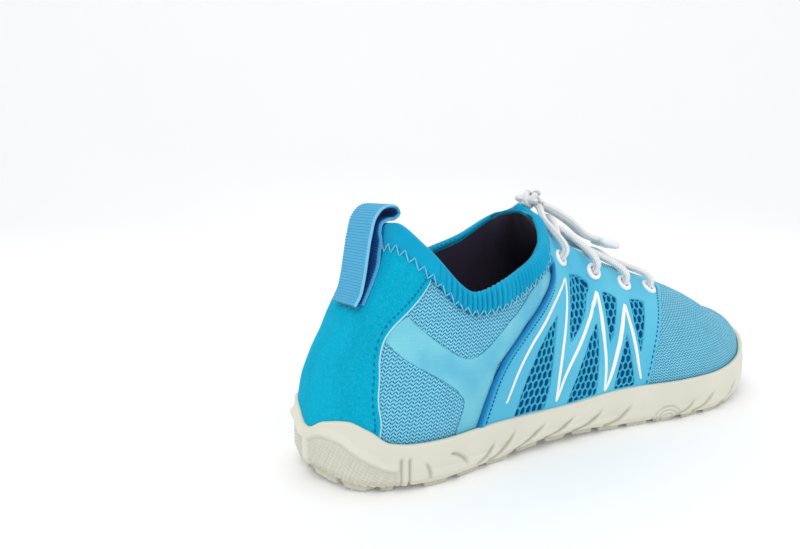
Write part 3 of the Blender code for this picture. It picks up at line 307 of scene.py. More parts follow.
def smooth_table(places, values, at):
    """Monotone cubic curve through a table's rows."""
    x = np.asarray(places, float)
    y = np.asarray(values, float)
    at = np.clip(np.asarray(at, float), x[0], x[-1])
    step = np.diff(x)
    slope = np.diff(y) / step
    tangent = np.zeros_like(y)
    for k in range(1, len(x) - 1):
        if slope[k - 1] * slope[k] > 0:
            before = 2 * step[k] + step[k - 1]
            after = step[k] + 2 * step[k - 1]
            tangent[k] = (before + after) / (before / slope[k - 1] + after / slope[k])
    tangent[0], tangent[-1] = slope[0], slope[-1]
    k = np.clip(np.searchsorted(x, at, side="right") - 1, 0, len(x) - 2)
    s = (at - x[k]) / step[k]
    rise = (3 - 2 * s) * s * s
    return (
        y[k] * (1 - rise)
        + y[k + 1] * rise
        + step[k] * s * (1 - s) * ((1 - s) * tangent[k] - s * tangent[k + 1])
    )


def columns(rows):
    return [np.array(column, float) for column in zip(*rows)]


def ease(value, start, end):
    """Soft step from 0 to 1 as a value goes from start to end."""
    s = np.clip((np.asarray(value, float) - start) / (end - start), 0, 1)
    return s * s * (3 - 2 * s)


def rise_and_fall(value, rise_from, rise_to, fall_from, fall_to):
    """Soft step up to 1 and down again."""
    return ease(value, rise_from, rise_to) * (1 - ease(value, fall_from, fall_to))


def hump(offset, width):
    """Bell that is 1 at no offset."""
    return np.exp(-((offset / width) ** 2))


def unit(vectors):
    """Vectors of length one, along the last axis."""
    return vectors / np.maximum(np.linalg.norm(vectors, axis=-1, keepdims=True), TINY)


def to_left(way):
    """Flat directions turned to their left."""
    return np.stack([-way[:, 1], way[:, 0]], 1)


def circle(count):
    """Even angles round a full turn."""
    return np.arange(count) * 2 * math.pi / count


def run_lengths(rows):
    """Distance run at each point of a line, or of many lines side by side."""
    steps = np.linalg.norm(np.diff(rows, axis=0), axis=-1)
    return np.concatenate([np.zeros_like(steps[:1]), np.cumsum(steps, 0)])


def outline_points():
    outer = [(share * WIDTHS[width], along * LENGTH) for along, share, _, width in OUTLINE]
    inner = [(-share * WIDTHS[width], along * LENGTH) for along, _, share, width in OUTLINE]
    tip = (TIP_ASIDE * TOE_WIDTH, LENGTH)
    return np.array([(0.0, 0.0), *outer, tip, *reversed(inner)])


OUTLINE_POINTS = outline_points()


def outline(round_):
    """Sole outline seen from above, and its outward direction."""
    points = OUTLINE_POINTS
    after = np.roll(points, -1, 0)
    before = np.roll(points, 1, 0)
    reach = np.linalg.norm(after - points, axis=1)
    back = np.roll(reach, 1)
    marks = np.concatenate([[0], np.cumsum(reach)]) / reach.sum()
    turn = (after - points) / reach[:, None] * back[:, None]
    turn = turn + (points - before) / back[:, None] * reach[:, None]
    tangent = turn / (reach + back)[:, None]
    at = np.mod(np.asarray(round_, float), 1.0)
    k = np.clip(np.searchsorted(marks, at, side="right") - 1, 0, len(points) - 1)
    s = ((at - marks[k]) / (marks[k + 1] - marks[k]))[..., None]
    n = (k + 1) % len(points)
    a, b = tangent[k] * reach[k][..., None], tangent[n] * reach[k][..., None]
    place = (2 * s**3 - 3 * s**2 + 1) * points[k] + (s**3 - 2 * s**2 + s) * a
    place = place + (3 * s**2 - 2 * s**3) * points[n] + (s**3 - s**2) * b
    way = (6 * s**2 - 6 * s) * (points[k] - points[n]) + (3 * s**2 - 4 * s + 1) * a + (3 * s**2 - 2 * s) * b
    way = way / np.linalg.norm(way, axis=-1, keepdims=True)
    out = np.stack([way[..., 1], -way[..., 0]], -1)
    return place, out


def half_round(round_):
    """Distance round from the heel, the same on both sides, and the side's sign."""
    at = np.mod(np.asarray(round_, float), 1.0)
    return np.minimum(at, 1 - at), np.where(at > 0.5, -1.0, 1.0)


def tread_height(along):
    places, rise = columns(TREAD_RISE)
    return smooth_table(places * LENGTH, rise * TOE_SPRING, along)


def cup_floor(along):
    """Height of the cup's floor: level under the heel, then it follows the tread to the toe."""
    from_heel = np.maximum(along, HEEL_BACK)
    return tread_height(from_heel) * FLOOR_FOLLOWS + SOLE_BASE


def cup_top(round_):
    at, _ = half_round(round_)
    places, height = columns(CUP_LINE)
    return smooth_table(places, height * SOLE_SIDE, at)


def top_edge(round_):
    """The collar's edge, then the ridge of the instep, then the middle of the toe box."""
    at, side = half_round(round_)
    places, aside, along, height = columns(COLLAR)
    collar_at = np.minimum(at, COLLAR_FRONT)
    collar = [
        side * smooth_table(places, aside * COLLAR_WIDTH / 2, collar_at),
        smooth_table(places, along * LENGTH, collar_at),
        smooth_table(places, height * HEEL_HEIGHT, collar_at),
    ]
    on = np.clip((at - COLLAR_FRONT) / (FAN_START - COLLAR_FRONT), 0, 1)
    places, aside, along, height = columns(RIDGE)
    ridge = [
        smooth_table(places, aside * BALL_WIDTH, on),
        smooth_table(places, along * LENGTH, on),
        smooth_table(places, height * INSTEP_HEIGHT, on),
    ]
    return np.where((at <= COLLAR_FRONT)[..., None], np.stack(collar, -1), np.stack(ridge, -1))


def toe_fall():
    """Slope of the ridge where it meets the toe box."""
    end = top_edge(np.array([FAN_START - 0.005, FAN_START]))
    return (end[1, 2] - end[0, 2]) / (end[1, 1] - end[0, 1])


TOE_FALL = toe_fall()


def skin(round_, up):
    """Outer face of the upper, as the solid has it."""
    round_, up = np.broadcast_arrays(np.asarray(round_, float), np.asarray(up, float))
    at, side = half_round(round_)
    foot, out = outline(round_)
    foot = foot - out * (CUP_WALL + CLEAR)
    low = np.concatenate([foot, (cup_floor(foot[..., 1]) + CLEAR)[..., None]], -1)
    out = np.concatenate([out, np.zeros(out.shape[:-1] + (1,))], -1)
    high = top_edge(round_)
    tall = (high - low)[..., 2:3]
    places, swell, rise, lean = columns(SECTION)
    swell = smooth_table(places, swell * HEEL_WIDTH, at)[..., None]
    rise = smooth_table(places, rise, at)[..., None]
    lean = smooth_table(places, lean, at)[..., None]
    lower_handle = low + out * swell + UPRIGHT * tall * rise
    flat = (low - high) * np.array([1, 1, 0.0])
    reach = np.linalg.norm(flat, axis=-1, keepdims=True)
    across = side[..., None] * (1.0, 0.0, 0.0)
    fan = ease(at, FAN_START - FAN_BLEND, FAN_START)[..., None]
    across = across * (1 - fan) + flat / np.maximum(reach, 1e-9) * fan
    across = across / np.linalg.norm(across, axis=-1, keepdims=True)
    ridge = ease(at, *RIDGE_BLEND)[..., None]
    at_collar = (out * lean - UPRIGHT) * tall * COLLAR_HANDLE
    on_ridge = across * reach * RIDGE_HANDLE * ridge
    on_ridge[..., 2] += on_ridge[..., 1] * TOE_FALL
    upper_handle = high + at_collar * (1 - ridge) + on_ridge
    s = up[..., None]
    place = (1 - s) ** 3 * low + 3 * (1 - s) ** 2 * s * lower_handle
    place = place + 3 * (1 - s) * s * s * upper_handle + s**3 * high
    return place - BACK


def skin_out(round_, up):
    """Outward direction of the upper's face."""
    round_, up = np.broadcast_arrays(np.asarray(round_, float), np.asarray(up, float))
    low_up, high_up = np.clip(up - NEAR, 0, 1 - 3 * NEAR), np.clip(up + NEAR, 2 * NEAR, 1 - NEAR)
    middle = np.clip(up, NEAR, 1 - 2 * NEAR)
    rising = skin(round_, high_up) - skin(round_, low_up)
    going = skin(round_ + NEAR, middle) - skin(round_ - NEAR, middle)
    out = np.cross(going, rising)
    return out / np.maximum(np.linalg.norm(out, axis=-1, keepdims=True), 1e-15)


CREASE_FADE = (-0.15, 0.35, 0.65, 1.15)


def crease(round_, up):
    """Height of the soft folds over the cloth at a place, the same on both sides."""
    at, _ = half_round(round_)
    here = np.stack([at, np.broadcast_to(up, at.shape)], -1) * FLAT
    lift = np.zeros(at.shape)
    for start_round, start_up, end_round, end_up, width, height in CREASES:
        start = np.array([start_round, start_up]) * FLAT
        way = np.array([end_round, end_up]) * FLAT - start
        share = ((here - start) @ way) / (way @ way)
        offset = here - start - np.clip(share, 0, 1)[..., None] * way
        fade = rise_and_fall(share, *CREASE_FADE)
        lift += height * MM * fade * np.exp(-(offset**2).sum(-1) / (width * MM) ** 2 * 3)
    return lift


def off_skin(round_, up, height):
    """Place at a height off the upper's smooth face."""
    round_, up = np.broadcast_arrays(np.asarray(round_, float), np.asarray(up, float))
    height = np.broadcast_to(np.asarray(height, float), up.shape)
    return skin(round_, up) + skin_out(round_, up) * height[..., None]


def over_skin(round_, up, height):
    """Place at a height over the upper's creased face."""
    round_, up = np.broadcast_arrays(np.asarray(round_, float), np.asarray(up, float))
    return off_skin(round_, up, height + crease(round_, up))


def up_at_height(round_, height):
    """The share up at which the upper's face passes a height near its lower edge."""
    low, high = np.zeros_like(round_), np.full_like(round_, SOLE_BELOW)
    for _ in range(HALVINGS):
        middle = (low + high) / 2
        above = skin(round_, middle)[..., 2] > height
        low, high = np.where(above, low, middle), np.where(above, middle, high)
    return (low + high) / 2


def chart_table():
    """Lengths up the upper's face, for laying out cloth without stretch."""
    rounds, ups = [np.linspace(0, 1, count) for count in CHART_SIZE]
    grid = skin(*np.meshgrid(rounds, ups, indexing="ij"))
    return run_lengths(np.swapaxes(grid, 0, 1)).T


CHART = chart_table()


def chart(round_, up):
    """Cloth lengths, round and up, at places on the upper."""
    at = np.mod(round_, 1.0) * (CHART.shape[0] - 1)
    high = np.clip(up, 0, 1) * (CHART.shape[1] - 1)
    i = np.minimum(at.astype(int), CHART.shape[0] - 2)
    j = np.minimum(high.astype(int), CHART.shape[1] - 2)
    s, t = at - i, high - j
    low = CHART[i, j] * (1 - s) + CHART[i + 1, j] * s
    top = CHART[i, j + 1] * (1 - s) + CHART[i + 1, j + 1] * s
    return np.stack([np.asarray(round_, float) * FLAT[0], low * (1 - t) + top * t], -1)


def spread(points, closed=False, step=1.2 * MM):
    """Flat points along straight stretches, no further apart than a step."""
    points = np.asarray(points, float)
    nexts = np.roll(points, -1, 0) if closed else points[1:]
    made = []
    for start, end in zip(points, nexts):
        count = max(1, math.ceil(np.linalg.norm((end - start) * FLAT) / step))
        made += [start + (end - start) * k / count for k in range(count)]
    if not closed:
        made.append(points[-1])
    return np.array(made)


def softened(points, closed=False, times=2):
    """A line with its corners cut, again and again, until they are round."""
    points = np.asarray(points, float)
    for _ in range(times):
        after = np.roll(points, -1, 0) if closed else points[1:]
        start = points if closed else points[:-1]
        cut = np.stack([start * 0.75 + after * 0.25, start * 0.25 + after * 0.75], 1).reshape(-1, 2)
        points = cut if closed else np.concatenate([points[:1], cut[1:-1], points[-1:]])
    return points


def above_sole(round_):
    """The share up just clear of the cup's rim."""
    round_ = np.asarray(round_, float)
    return up_at_height(round_, cup_top(round_) - 0.8 * MM)


def along_sole(start, end, count):
    places = np.linspace(start, end, count)
    return np.stack([places, above_sole(places)], 1)


def inside(points, loop):
    """Which flat points lie inside a closed loop."""
    x, y = points[:, 0:1], points[:, 1:2]
    ax, ay = loop[:, 0], loop[:, 1]
    bx, by = np.roll(ax, -1), np.roll(ay, -1)
    crosses = (ay > y) != (by > y)
    rise = np.where(by == ay, 1e-12, by - ay)
    return (crosses & (x < (bx - ax) * (y - ay) / rise + ax)).sum(1) % 2 == 1


def nearest_on_line(points, start, end):
    """Distance from flat points to a line's nearest stretch, and its number plus the share run on it."""
    way = end - start
    reach = np.maximum((way**2).sum(1), TINY**1.5)
    away, found = np.empty(len(points)), np.empty(len(points))
    for first in range(0, len(points), AT_ONCE):
        part = slice(first, first + AT_ONCE)
        offset = points[part, None] - start
        share = np.clip((offset * way).sum(2) / reach, 0, 1)
        distance = np.linalg.norm(offset - way * share[..., None], axis=2)
        nearest = distance.argmin(1)
        rows = np.arange(len(nearest))
        away[part] = distance[rows, nearest]
        found[part] = nearest + share[rows, nearest]
    return away, found


def line_distance(points, line, closed=True):
    """Distance in metres from (round, up) places to a line or loop of them."""
    start = line * FLAT
    end = np.roll(start, -1, 0)
    if not closed:
        start, end = start[:-1], end[:-1]
    return nearest_on_line(points * FLAT, start, end)[0]


def mirrored(loop):
    """The same flat line on the inner side."""
    return np.stack([1 - loop[:, 0], loop[:, 1]], 1)[::-1]


def rows_above(rows):
    """Rows of a panel's edge, from the sole's line up."""
    clear = [up > float(above_sole(place)) for place, up in rows]
    first = clear.index(True)
    high = np.array(rows[first])
    low = np.array(rows[max(first - 1, 0)])
    foot = high
    for _ in range(HALVINGS):
        foot = (low + high) / 2
        above = foot[1] > float(above_sole(foot[0]))
        low, high = (low, foot) if above else (foot, high)
    if first == 0:
        foot = np.array([foot[0], float(above_sole(foot[0]))])
    return [tuple(foot), *rows[first:]]


def skin_step(round_, up, aside, along):
    """Flat move that shifts a place on the skin by two small lengths, across and along its plane."""
    here = skin(round_, up)
    by_round = (skin(round_ + NEAR, up) - here) / NEAR
    by_up = (skin(round_, up + NEAR) - here) / NEAR
    across = by_round / np.linalg.norm(by_round)
    upward = np.cross(skin_out(round_, up), across)
    place = np.array([[across @ by_round, across @ by_up], [upward @ by_round, upward @ by_up]])
    return np.linalg.solve(place, [aside, along])


def ring_on_skin(round_, up, radius, sides):
    """Flat loop that is a circle on the skin."""
    steps = [skin_step(round_, up, radius * math.cos(a), radius * math.sin(a)) for a in circle(sides)]
    return np.array([round_, up]) + np.array(steps)


class Shape:
    """Points, faces, cloth lengths and marks of a mesh while it is put together."""

    def __init__(self):
        self.points, self.lengths, self.marks, self.faces, self.kinds = [], [], [], [], []
        self.count = 0

    def add_faces(self, faces, kind=0):
        self.faces.append(np.asarray(faces, int))
        self.kinds.append(np.full(len(faces), kind))

    def add(self, points, faces, lengths=None, marks=None, kind=0):
        points = np.asarray(points, float).reshape(-1, 3)
        self.add_faces(np.asarray(faces, int) + self.count, kind)
        self.points.append(points)
        self.lengths.append(np.zeros((len(points), 2)) if lengths is None else np.reshape(lengths, (-1, 2)))
        self.marks.append(np.zeros(len(points)) if marks is None else np.reshape(marks, -1))
        self.count += len(points)

    def add_tip(self, place, row):
        """A point joined to each pair of neighbours in a row of point numbers."""
        self.add([place], np.zeros((0, 3), int))
        self.add_faces([(one, other, self.count - 1) for one, other in zip(row, row[1:])])

    def build(self, name, *finishes, sharp=None, turned=True, merge=None):
        """The Blender object, with a cloth map in metres and a mark at each point."""
        lengths = np.concatenate(self.lengths)
        loops = np.concatenate([faces.ravel() for faces in self.faces])
        sizes = np.concatenate([np.full(len(faces), faces.shape[1]) for faces in self.faces])
        starts = np.concatenate([[0], np.cumsum(sizes)[:-1]])
        mesh = bpy.data.meshes.new(name)
        mesh.vertices.add(self.count)
        mesh.vertices.foreach_set("co", np.concatenate(self.points).astype(np.float32).ravel())
        mesh.loops.add(len(loops))
        mesh.loops.foreach_set("vertex_index", loops.astype(np.int32))
        mesh.polygons.add(len(sizes))
        mesh.polygons.foreach_set("loop_start", starts.astype(np.int32))
        mesh.update(calc_edges=True)
        layer = mesh.uv_layers.new(name=UV_MAP)
        layer.uv.foreach_set("vector", lengths[loops].astype(np.float32).ravel())
        mark = mesh.attributes.new("mark", "FLOAT", "POINT")
        mark.data.foreach_set("value", np.concatenate(self.marks).astype(np.float32))
        for finish in finishes:
            mesh.materials.append(FINISHES[finish])
        mesh.polygons.foreach_set("material_index", np.concatenate(self.kinds).astype(np.int32))
        mesh.validate()
        if turned or merge:
            bm = bmesh.new()
            bm.from_mesh(mesh)
            if merge:
                bmesh.ops.remove_doubles(bm, verts=bm.verts, dist=merge)
            if turned:
                bmesh.ops.recalc_face_normals(bm, faces=bm.faces)
            bm.to_mesh(mesh)
            bm.free()
        mesh.shade_smooth()
        if sharp:
            mesh.set_sharp_from_angle(angle=math.radians(sharp))
        made = bpy.data.objects.new(name, mesh)
        bpy.context.scene.collection.objects.link(made)
        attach(made, "root")
        return made


def grid_faces(rows, cols, wrap_rows=False, wrap_cols=False):
    """Quads of a grid of points, row after row."""
    row_starts = np.arange(rows if wrap_rows else rows - 1)
    col_starts = np.arange(cols if wrap_cols else cols - 1)
    i, j = np.meshgrid(row_starts, col_starts, indexing="ij")
    a, b = i * cols + j, i * cols + (j + 1) % cols
    c, d = (i + 1) % rows * cols + (j + 1) % cols, (i + 1) % rows * cols + j
    return np.stack([a, b, c, d], -1).reshape(-1, 4)


def repeated(faces, count, size):
    """The same faces for each of many groups of points."""
    return (faces[None] + np.arange(count)[:, None, None] * size).reshape(-1, faces.shape[1])


def rings_round(centres, side, lift, radii, count):
    """Circles of points round centres, in the plane of two directions across."""
    turns = circle(count)[:, None]
    ring = np.cos(turns) * side[..., None, :] + np.sin(turns) * lift[..., None, :]
    return centres[..., None, :] + radii[..., None, None] * ring


def dress(made, slot, *nodes):
    """Hides the solids that a piece stands for and returns the piece; the slot is not used."""
    if nodes:
        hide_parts(*nodes)
    return made


def joined_up(points, loops, near):
    """Triangles through flat points; the loops' points come first, and their edges are kept."""
    edges, start = [], 0
    for line in loops:
        edges += [(start + k, start + (k + 1) % len(line)) for k in range(len(line))]
        start += len(line)
    flat, _, faces, _, _, _ = delaunay_2d_cdt([Vector(p) for p in points], edges, [], 0, near)
    return np.array([tuple(p) for p in flat]), np.array([face for face in faces if len(face) == 3])


def triangulated(loop, holes, extra):
    """Triangles of the (round, up) region between loops, through extra points."""
    loops = [loop, *holes]
    flat, faces = joined_up(np.concatenate([*loops, *extra]) * FLAT, loops, 1e-7)
    flat = flat / FLAT
    middles = flat[faces].mean(1)
    kept = inside(middles, loop)
    for hole in holes:
        kept &= ~inside(middles, hole)
    return flat, faces[kept]


def triangle_grid(low, high, step):
    """Flat points in even triangles over a box."""
    grid = np.stack(np.meshgrid(np.arange(low[0], high[0], step), np.arange(low[1], high[1], step * GRID_ROW)), -1)
    grid[1::2, :, 0] += step / 2
    return grid.reshape(-1, 2)


def inset_line(loop, inset):
    """A closed flat loop moved inwards by a length."""
    line = loop * FLAT
    left = to_left(unit(np.roll(line, -1, 0) - np.roll(line, 1, 0)))
    area = (line[:, 0] * np.roll(line[:, 1], -1) - np.roll(line[:, 0], -1) * line[:, 1]).sum()
    return (line + left * inset * np.sign(area)) / FLAT


def patch(shape, loop, holes, low, thick, step=1.3 * MM, edge=0.5 * MM, relief=None, mark=None):
    """Closed panel over the skin with rounded edges.

    It starts at a height low over the skin; relief and mark are read at (round, up, distance from the edge).
    """
    loops = [loop, *holes]
    extra = []
    for line in loops:
        for share in RIM_ROWS:
            row = inset_line(line, edge * share * (1 if line is loop else -1))
            clear = np.full(len(row), True)
            for other in loops:
                clear &= line_distance(row, other) > edge * share * RIM_CLEAR
            extra.append(row[clear])
    grid = triangle_grid(loop.min(0) * FLAT, loop.max(0) * FLAT, step) / FLAT
    kept = inside(grid, loop)
    for line in loops:
        kept[kept] = line_distance(grid[kept], line) > edge + step * GRID_CLEAR
    for hole in holes:
        kept &= ~inside(grid, hole)
    flat, faces = triangulated(loop, holes, [*extra, grid[kept]])
    used = np.unique(faces)
    number = np.full(len(flat), -1)
    number[used] = np.arange(len(used))
    flat, faces = flat[used], number[faces]
    away = np.min([line_distance(flat, line) for line in loops], axis=0)
    round_share = 1 - np.clip(away / edge, 0, 1)
    lift = np.sqrt(np.clip(1 - round_share**2, 0, 1))
    open_ = away >= 1e-6
    height = thick if relief is None else thick + relief(flat[:, 0], flat[:, 1], away)
    top = over_skin(flat[:, 0], flat[:, 1], low + height * lift)
    under = over_skin(flat[open_, 0], flat[open_, 1], low)
    below = np.arange(len(flat))
    below[open_] = len(flat) + np.arange(open_.sum())
    both = np.concatenate([faces, below[faces][:, ::-1]])
    lengths = chart(flat[:, 0], flat[:, 1])
    marks = away if mark is None else mark(flat[:, 0], flat[:, 1], away)
    lengths, marks = (np.concatenate([values, values[open_]]) for values in (lengths, marks))
    shape.add(np.concatenate([top, under]), both, lengths, marks)


def path_frames(points):
    """Two directions across a path at each of its points, which turn as little as they can."""
    way = unit(np.gradient(points, axis=0))
    side = np.cross(way[0], UPRIGHT)
    sides = []
    for direction in way:
        side = side - direction * (side @ direction)
        side = side / np.linalg.norm(side)
        sides.append(side)
    return np.array(sides), np.cross(sides, way)


def add_tube(shape, points, radius, sides):
    """Round cord along points, closed by a point at each end; its map counts turns and girths."""
    side, lift = path_frames(points)
    radii = np.broadcast_to(np.asarray(radius, float), (len(points),))
    rings = rings_round(points, side, lift, radii, sides)
    turn = circle(sides)[None] / (2 * math.pi)
    girths = run_lengths(points)[:, None] / (2 * math.pi * radii.mean())
    start = shape.count
    lengths = np.stack(np.broadcast_arrays(turn, girths), -1)
    shape.add(rings, grid_faces(len(points), sides, wrap_cols=True), lengths)
    for ring in (0, len(points) - 1):
        shape.add_tip(points[ring], [start + ring * sides + k % sides for k in range(sides + 1)])


def smooth_route(points, count):
    """Points read from a smooth curve through a route's own points."""
    points = np.asarray(points, float)
    reach = run_lengths(points)
    at = np.linspace(0, reach[-1], count)
    tangent = np.gradient(points, reach, axis=0)
    k = np.clip(np.searchsorted(reach, at, side="right") - 1, 0, len(points) - 2)
    step = (reach[k + 1] - reach[k])[:, None]
    s = (at - reach[k])[:, None] / step
    place = (2 * s**3 - 3 * s**2 + 1) * points[k] + (s**3 - 2 * s**2 + s) * step * tangent[k]
    return place + (3 * s**2 - 2 * s**3) * points[k + 1] + (s**3 - s**2) * step * tangent[k + 1]


STITCH_RINGS = 6
STITCH_SIDES = 6
STITCH_SUNK = 0.9
STITCH_CROWN = 0.25
STITCH_ENDS, STITCH_SWELL = 0.55, 0.45


def add_stitches(shape, starts, ends, lift, radius, kind=0):
    """Short threads over the skin, from flat place to flat place, sunk at both ends."""
    share = np.linspace(0, 1, STITCH_RINGS)
    flat = starts[:, None] + (ends - starts)[:, None] * share[None, :, None]
    bow = np.sin(share * math.pi)
    height = lift - radius * STITCH_SUNK + radius * (STITCH_SUNK + STITCH_CROWN) * bow**0.6
    centre = over_skin(flat[..., 0], flat[..., 1], height)
    way = unit(np.gradient(centre, axis=1))
    side = unit(np.cross(way, skin_out(flat[..., 0], flat[..., 1])))
    radii = np.broadcast_to(radius * (STITCH_ENDS + STITCH_SWELL * bow), centre.shape[:2])
    rings = rings_round(centre, side, np.cross(side, way), radii, STITCH_SIDES)
    cap = np.array([[3, 2, 1, 0], [5, 4, 3, 0]])
    last = (STITCH_RINGS - 1) * STITCH_SIDES + cap
    one = np.concatenate([grid_faces(STITCH_RINGS, STITCH_SIDES, wrap_cols=True), cap, last])
    shape.add(rings, repeated(one, len(starts), STITCH_RINGS * STITCH_SIDES), kind=kind)


def along_line(line, pitch, inset=0.0):
    """Even places on a flat line, in metres of the layout, with the direction there and its left.

    The places are shifted to the left by the inset.
    """
    path = np.asarray(line, float) * FLAT
    reach = run_lengths(path)
    count = max(2, int(reach[-1] / pitch))
    at = (np.arange(count) + 0.5) * reach[-1] / count

    def place(run):
        return np.stack([np.interp(run, reach, path[:, k]) for k in (0, 1)], 1)

    way = unit(place(at + 0.4 * pitch) - place(at - 0.4 * pitch))
    left = to_left(way)
    return place(at) + left * inset, way, left


def add_running_stitch(shape, line, pitch, length, inset, lift, radius, slant=0.0, kind=0):
    """Row of stitches beside a flat line; slant turns each one, in degrees."""
    places, way, left = along_line(line, pitch, inset)
    turn = math.radians(slant)
    half = (way * math.cos(turn) + left * math.sin(turn)) * length / 2
    add_stitches(shape, (places - half) / FLAT, (places + half) / FLAT, lift, radius, kind)


def rgb(code):
    """Linear colour of a screen colour given as six hex digits."""
    parts = [int(code[k : k + 2], 16) / 255 for k in (0, 2, 4)]
    return tuple(p / 12.92 if p <= 0.04045 else ((p + 0.055) / 1.055) ** 2.4 for p in parts)


def opaque(colour):
    """A colour with its fourth part, or the socket that gives one."""
    return colour if isinstance(colour, bpy.types.NodeSocket) else (*colour[:3], 1.0)


class Finish:
    """A material whose nodes are added one after another."""

    def __init__(self, name, roughness=0.6, **fixed):
        self.material = bpy.data.materials.new(name)
        self.material.use_nodes = True
        self.nodes = self.material.node_tree.nodes
        self.links = self.material.node_tree.links
        self.shader = self.nodes["Principled BSDF"]
        self.shader.inputs["Roughness"].default_value = roughness
        for socket, value in fixed.items():
            self.shader.inputs[socket.replace("_", " ")].default_value = value
        self.bumped = None

    def put(self, socket, value):
        if isinstance(value, bpy.types.NodeSocket):
            self.links.new(value, socket)
        else:
            socket.default_value = value

    def node(self, kind, inputs=(), output=0, **settings):
        """An output of a new node; inputs pairs sockets, by name or number, with values."""
        made = self.nodes.new(kind)
        for key, value in settings.items():
            setattr(made, key, value)
        for key, value in dict(inputs).items():
            self.put(made.inputs[key], value)
        return made.outputs[output]

    def math(self, operation, *values):
        return self.node("ShaderNodeMath", enumerate(values), operation=operation)

    def times(self, *values):
        return self.math("MULTIPLY", *values)

    def plus(self, *values):
        return self.math("ADD", *values)

    def minus(self, *values):
        return self.math("SUBTRACT", *values)

    def waves(self, value, length):
        """Even triangle waves of a value, from 0 to a half."""
        return self.math("PINGPONG", self.math("DIVIDE", value, length), 0.5)

    def from_middle(self, value):
        """How far a value is from the middle of its whole step."""
        return self.math("ABSOLUTE", self.minus(self.math("FRACT", value), 0.5))

    def band(self, value, low, high, start=0.0, end=1.0):
        """Soft step from start to end as a value goes from low to high."""
        inputs = enumerate((value, low, high, start, end))
        return self.node("ShaderNodeMapRange", inputs, interpolation_type="SMOOTHSTEP")

    def mix(self, share, first, second):
        inputs = {0: share, 6: opaque(first), 7: opaque(second)}
        return self.node("ShaderNodeMix", inputs, 2, data_type="RGBA")

    def tint(self, colour, pattern, share, other):
        """The colour, with a share of the other where the pattern is 1."""
        return self.mix(self.times(pattern, share), colour, other)

    def mottle(self, colour, share, pattern, low=0.3, high=0.7):
        """The colour, darkened to a share of it where the pattern is low."""
        return self.mix(self.band(pattern, low, high), darker(colour, share), colour)

    def cloth(self):
        """The two parts of the cloth map."""
        split = self.nodes.new("ShaderNodeSeparateXYZ")
        self.links.new(self.node("ShaderNodeUVMap", uv_map=UV_MAP), split.inputs[0])
        return split.outputs[0], split.outputs[1]

    def lengths(self):
        """Cloth lengths round and up, in millimetres."""
        return [self.times(part, 1 / MM) for part in self.cloth()]

    def weave(self, across, along):
        """Crossed waves, with so many radians to a millimetre."""
        u, v = self.lengths()
        return self.times(self.math("SINE", self.times(u, across)), self.math("SINE", self.times(v, along)))

    def mark(self):
        """The mark of each point."""
        return self.node("ShaderNodeAttribute", output=2, attribute_name="mark")

    def mark_length(self):
        """The mark of each point as a length in millimetres."""
        return self.times(self.mark(), 1 / MM)

    def place(self):
        """The object's own metres."""
        return self.node("ShaderNodeTexCoord", output=3)

    def noise(self, scale, detail=2.0, roughness=0.5, stretch=None):
        place = self.place()
        if stretch:
            place = self.node("ShaderNodeMapping", {"Vector": place, "Scale": stretch})
        inputs = {"Vector": place, "Scale": scale, "Detail": detail, "Roughness": roughness}
        return self.node("ShaderNodeTexNoise", inputs)

    def bump(self, height, distance, strength=1.0):
        inputs = {"Strength": strength, "Distance": distance, "Height": height}
        if self.bumped:
            inputs["Normal"] = self.bumped
        self.bumped = self.node("ShaderNodeBump", inputs)

    def done(self, colour, roughness=None):
        self.put(self.shader.inputs["Base Color"], opaque(colour))
        if roughness is not None:
            self.put(self.shader.inputs["Roughness"], roughness)
        if self.bumped:
            self.put(self.shader.inputs["Normal"], self.bumped)
        return self.material


def darker(colour, share):
    return tuple(part * share for part in colour[:3])


def zigzag_rows(make, wide, tall, swing):
    """Height of a zigzag knit: rows of short legs that lean one way and then the other."""
    u, v = make.lengths()
    row = make.plus(make.math("DIVIDE", v, tall), make.times(make.waves(u, wide), swing))
    line = make.band(make.from_middle(row), 0.10, 0.30, 1.0, 0.0)
    legs = make.times(make.math("DIVIDE", u, wide), 2.0)
    return make.times(line, make.band(make.from_middle(legs), 0.30, 0.46, 1.0, 0.0))


def knit_finish(colours, sizes):
    make = Finish("knit_mesh", 0.85, Specular_IOR_Level=0.15, Sheen_Weight=0.08)
    hole = zigzag_rows(make, sizes.knit_period / MM, sizes.knit_row / MM, 1.7)
    yarn = make.noise(2600.0)
    light = make.mottle(colours.knit, 0.88, make.noise(260.0, 3.0))
    bright = tuple(min(1.0, part * 1.16) for part in colours.knit)
    fleck = make.mix(make.band(yarn, 0.35, 0.75), light, bright)
    make.bump(make.minus(1.0, hole), 0.30 * MM)
    make.bump(yarn, 0.12 * MM, 0.6)
    return make.done(make.mix(hole, fleck, colours.knit_hole))


def lining_finish(colours):
    make = Finish("lining_knit", 0.85, Sheen_Weight=0.2)
    weave = make.weave(7.0, 9.0)
    make.bump(weave, 0.12 * MM)
    return make.done(make.mottle(colours.lining, 0.6, weave, -0.6, 0.8))


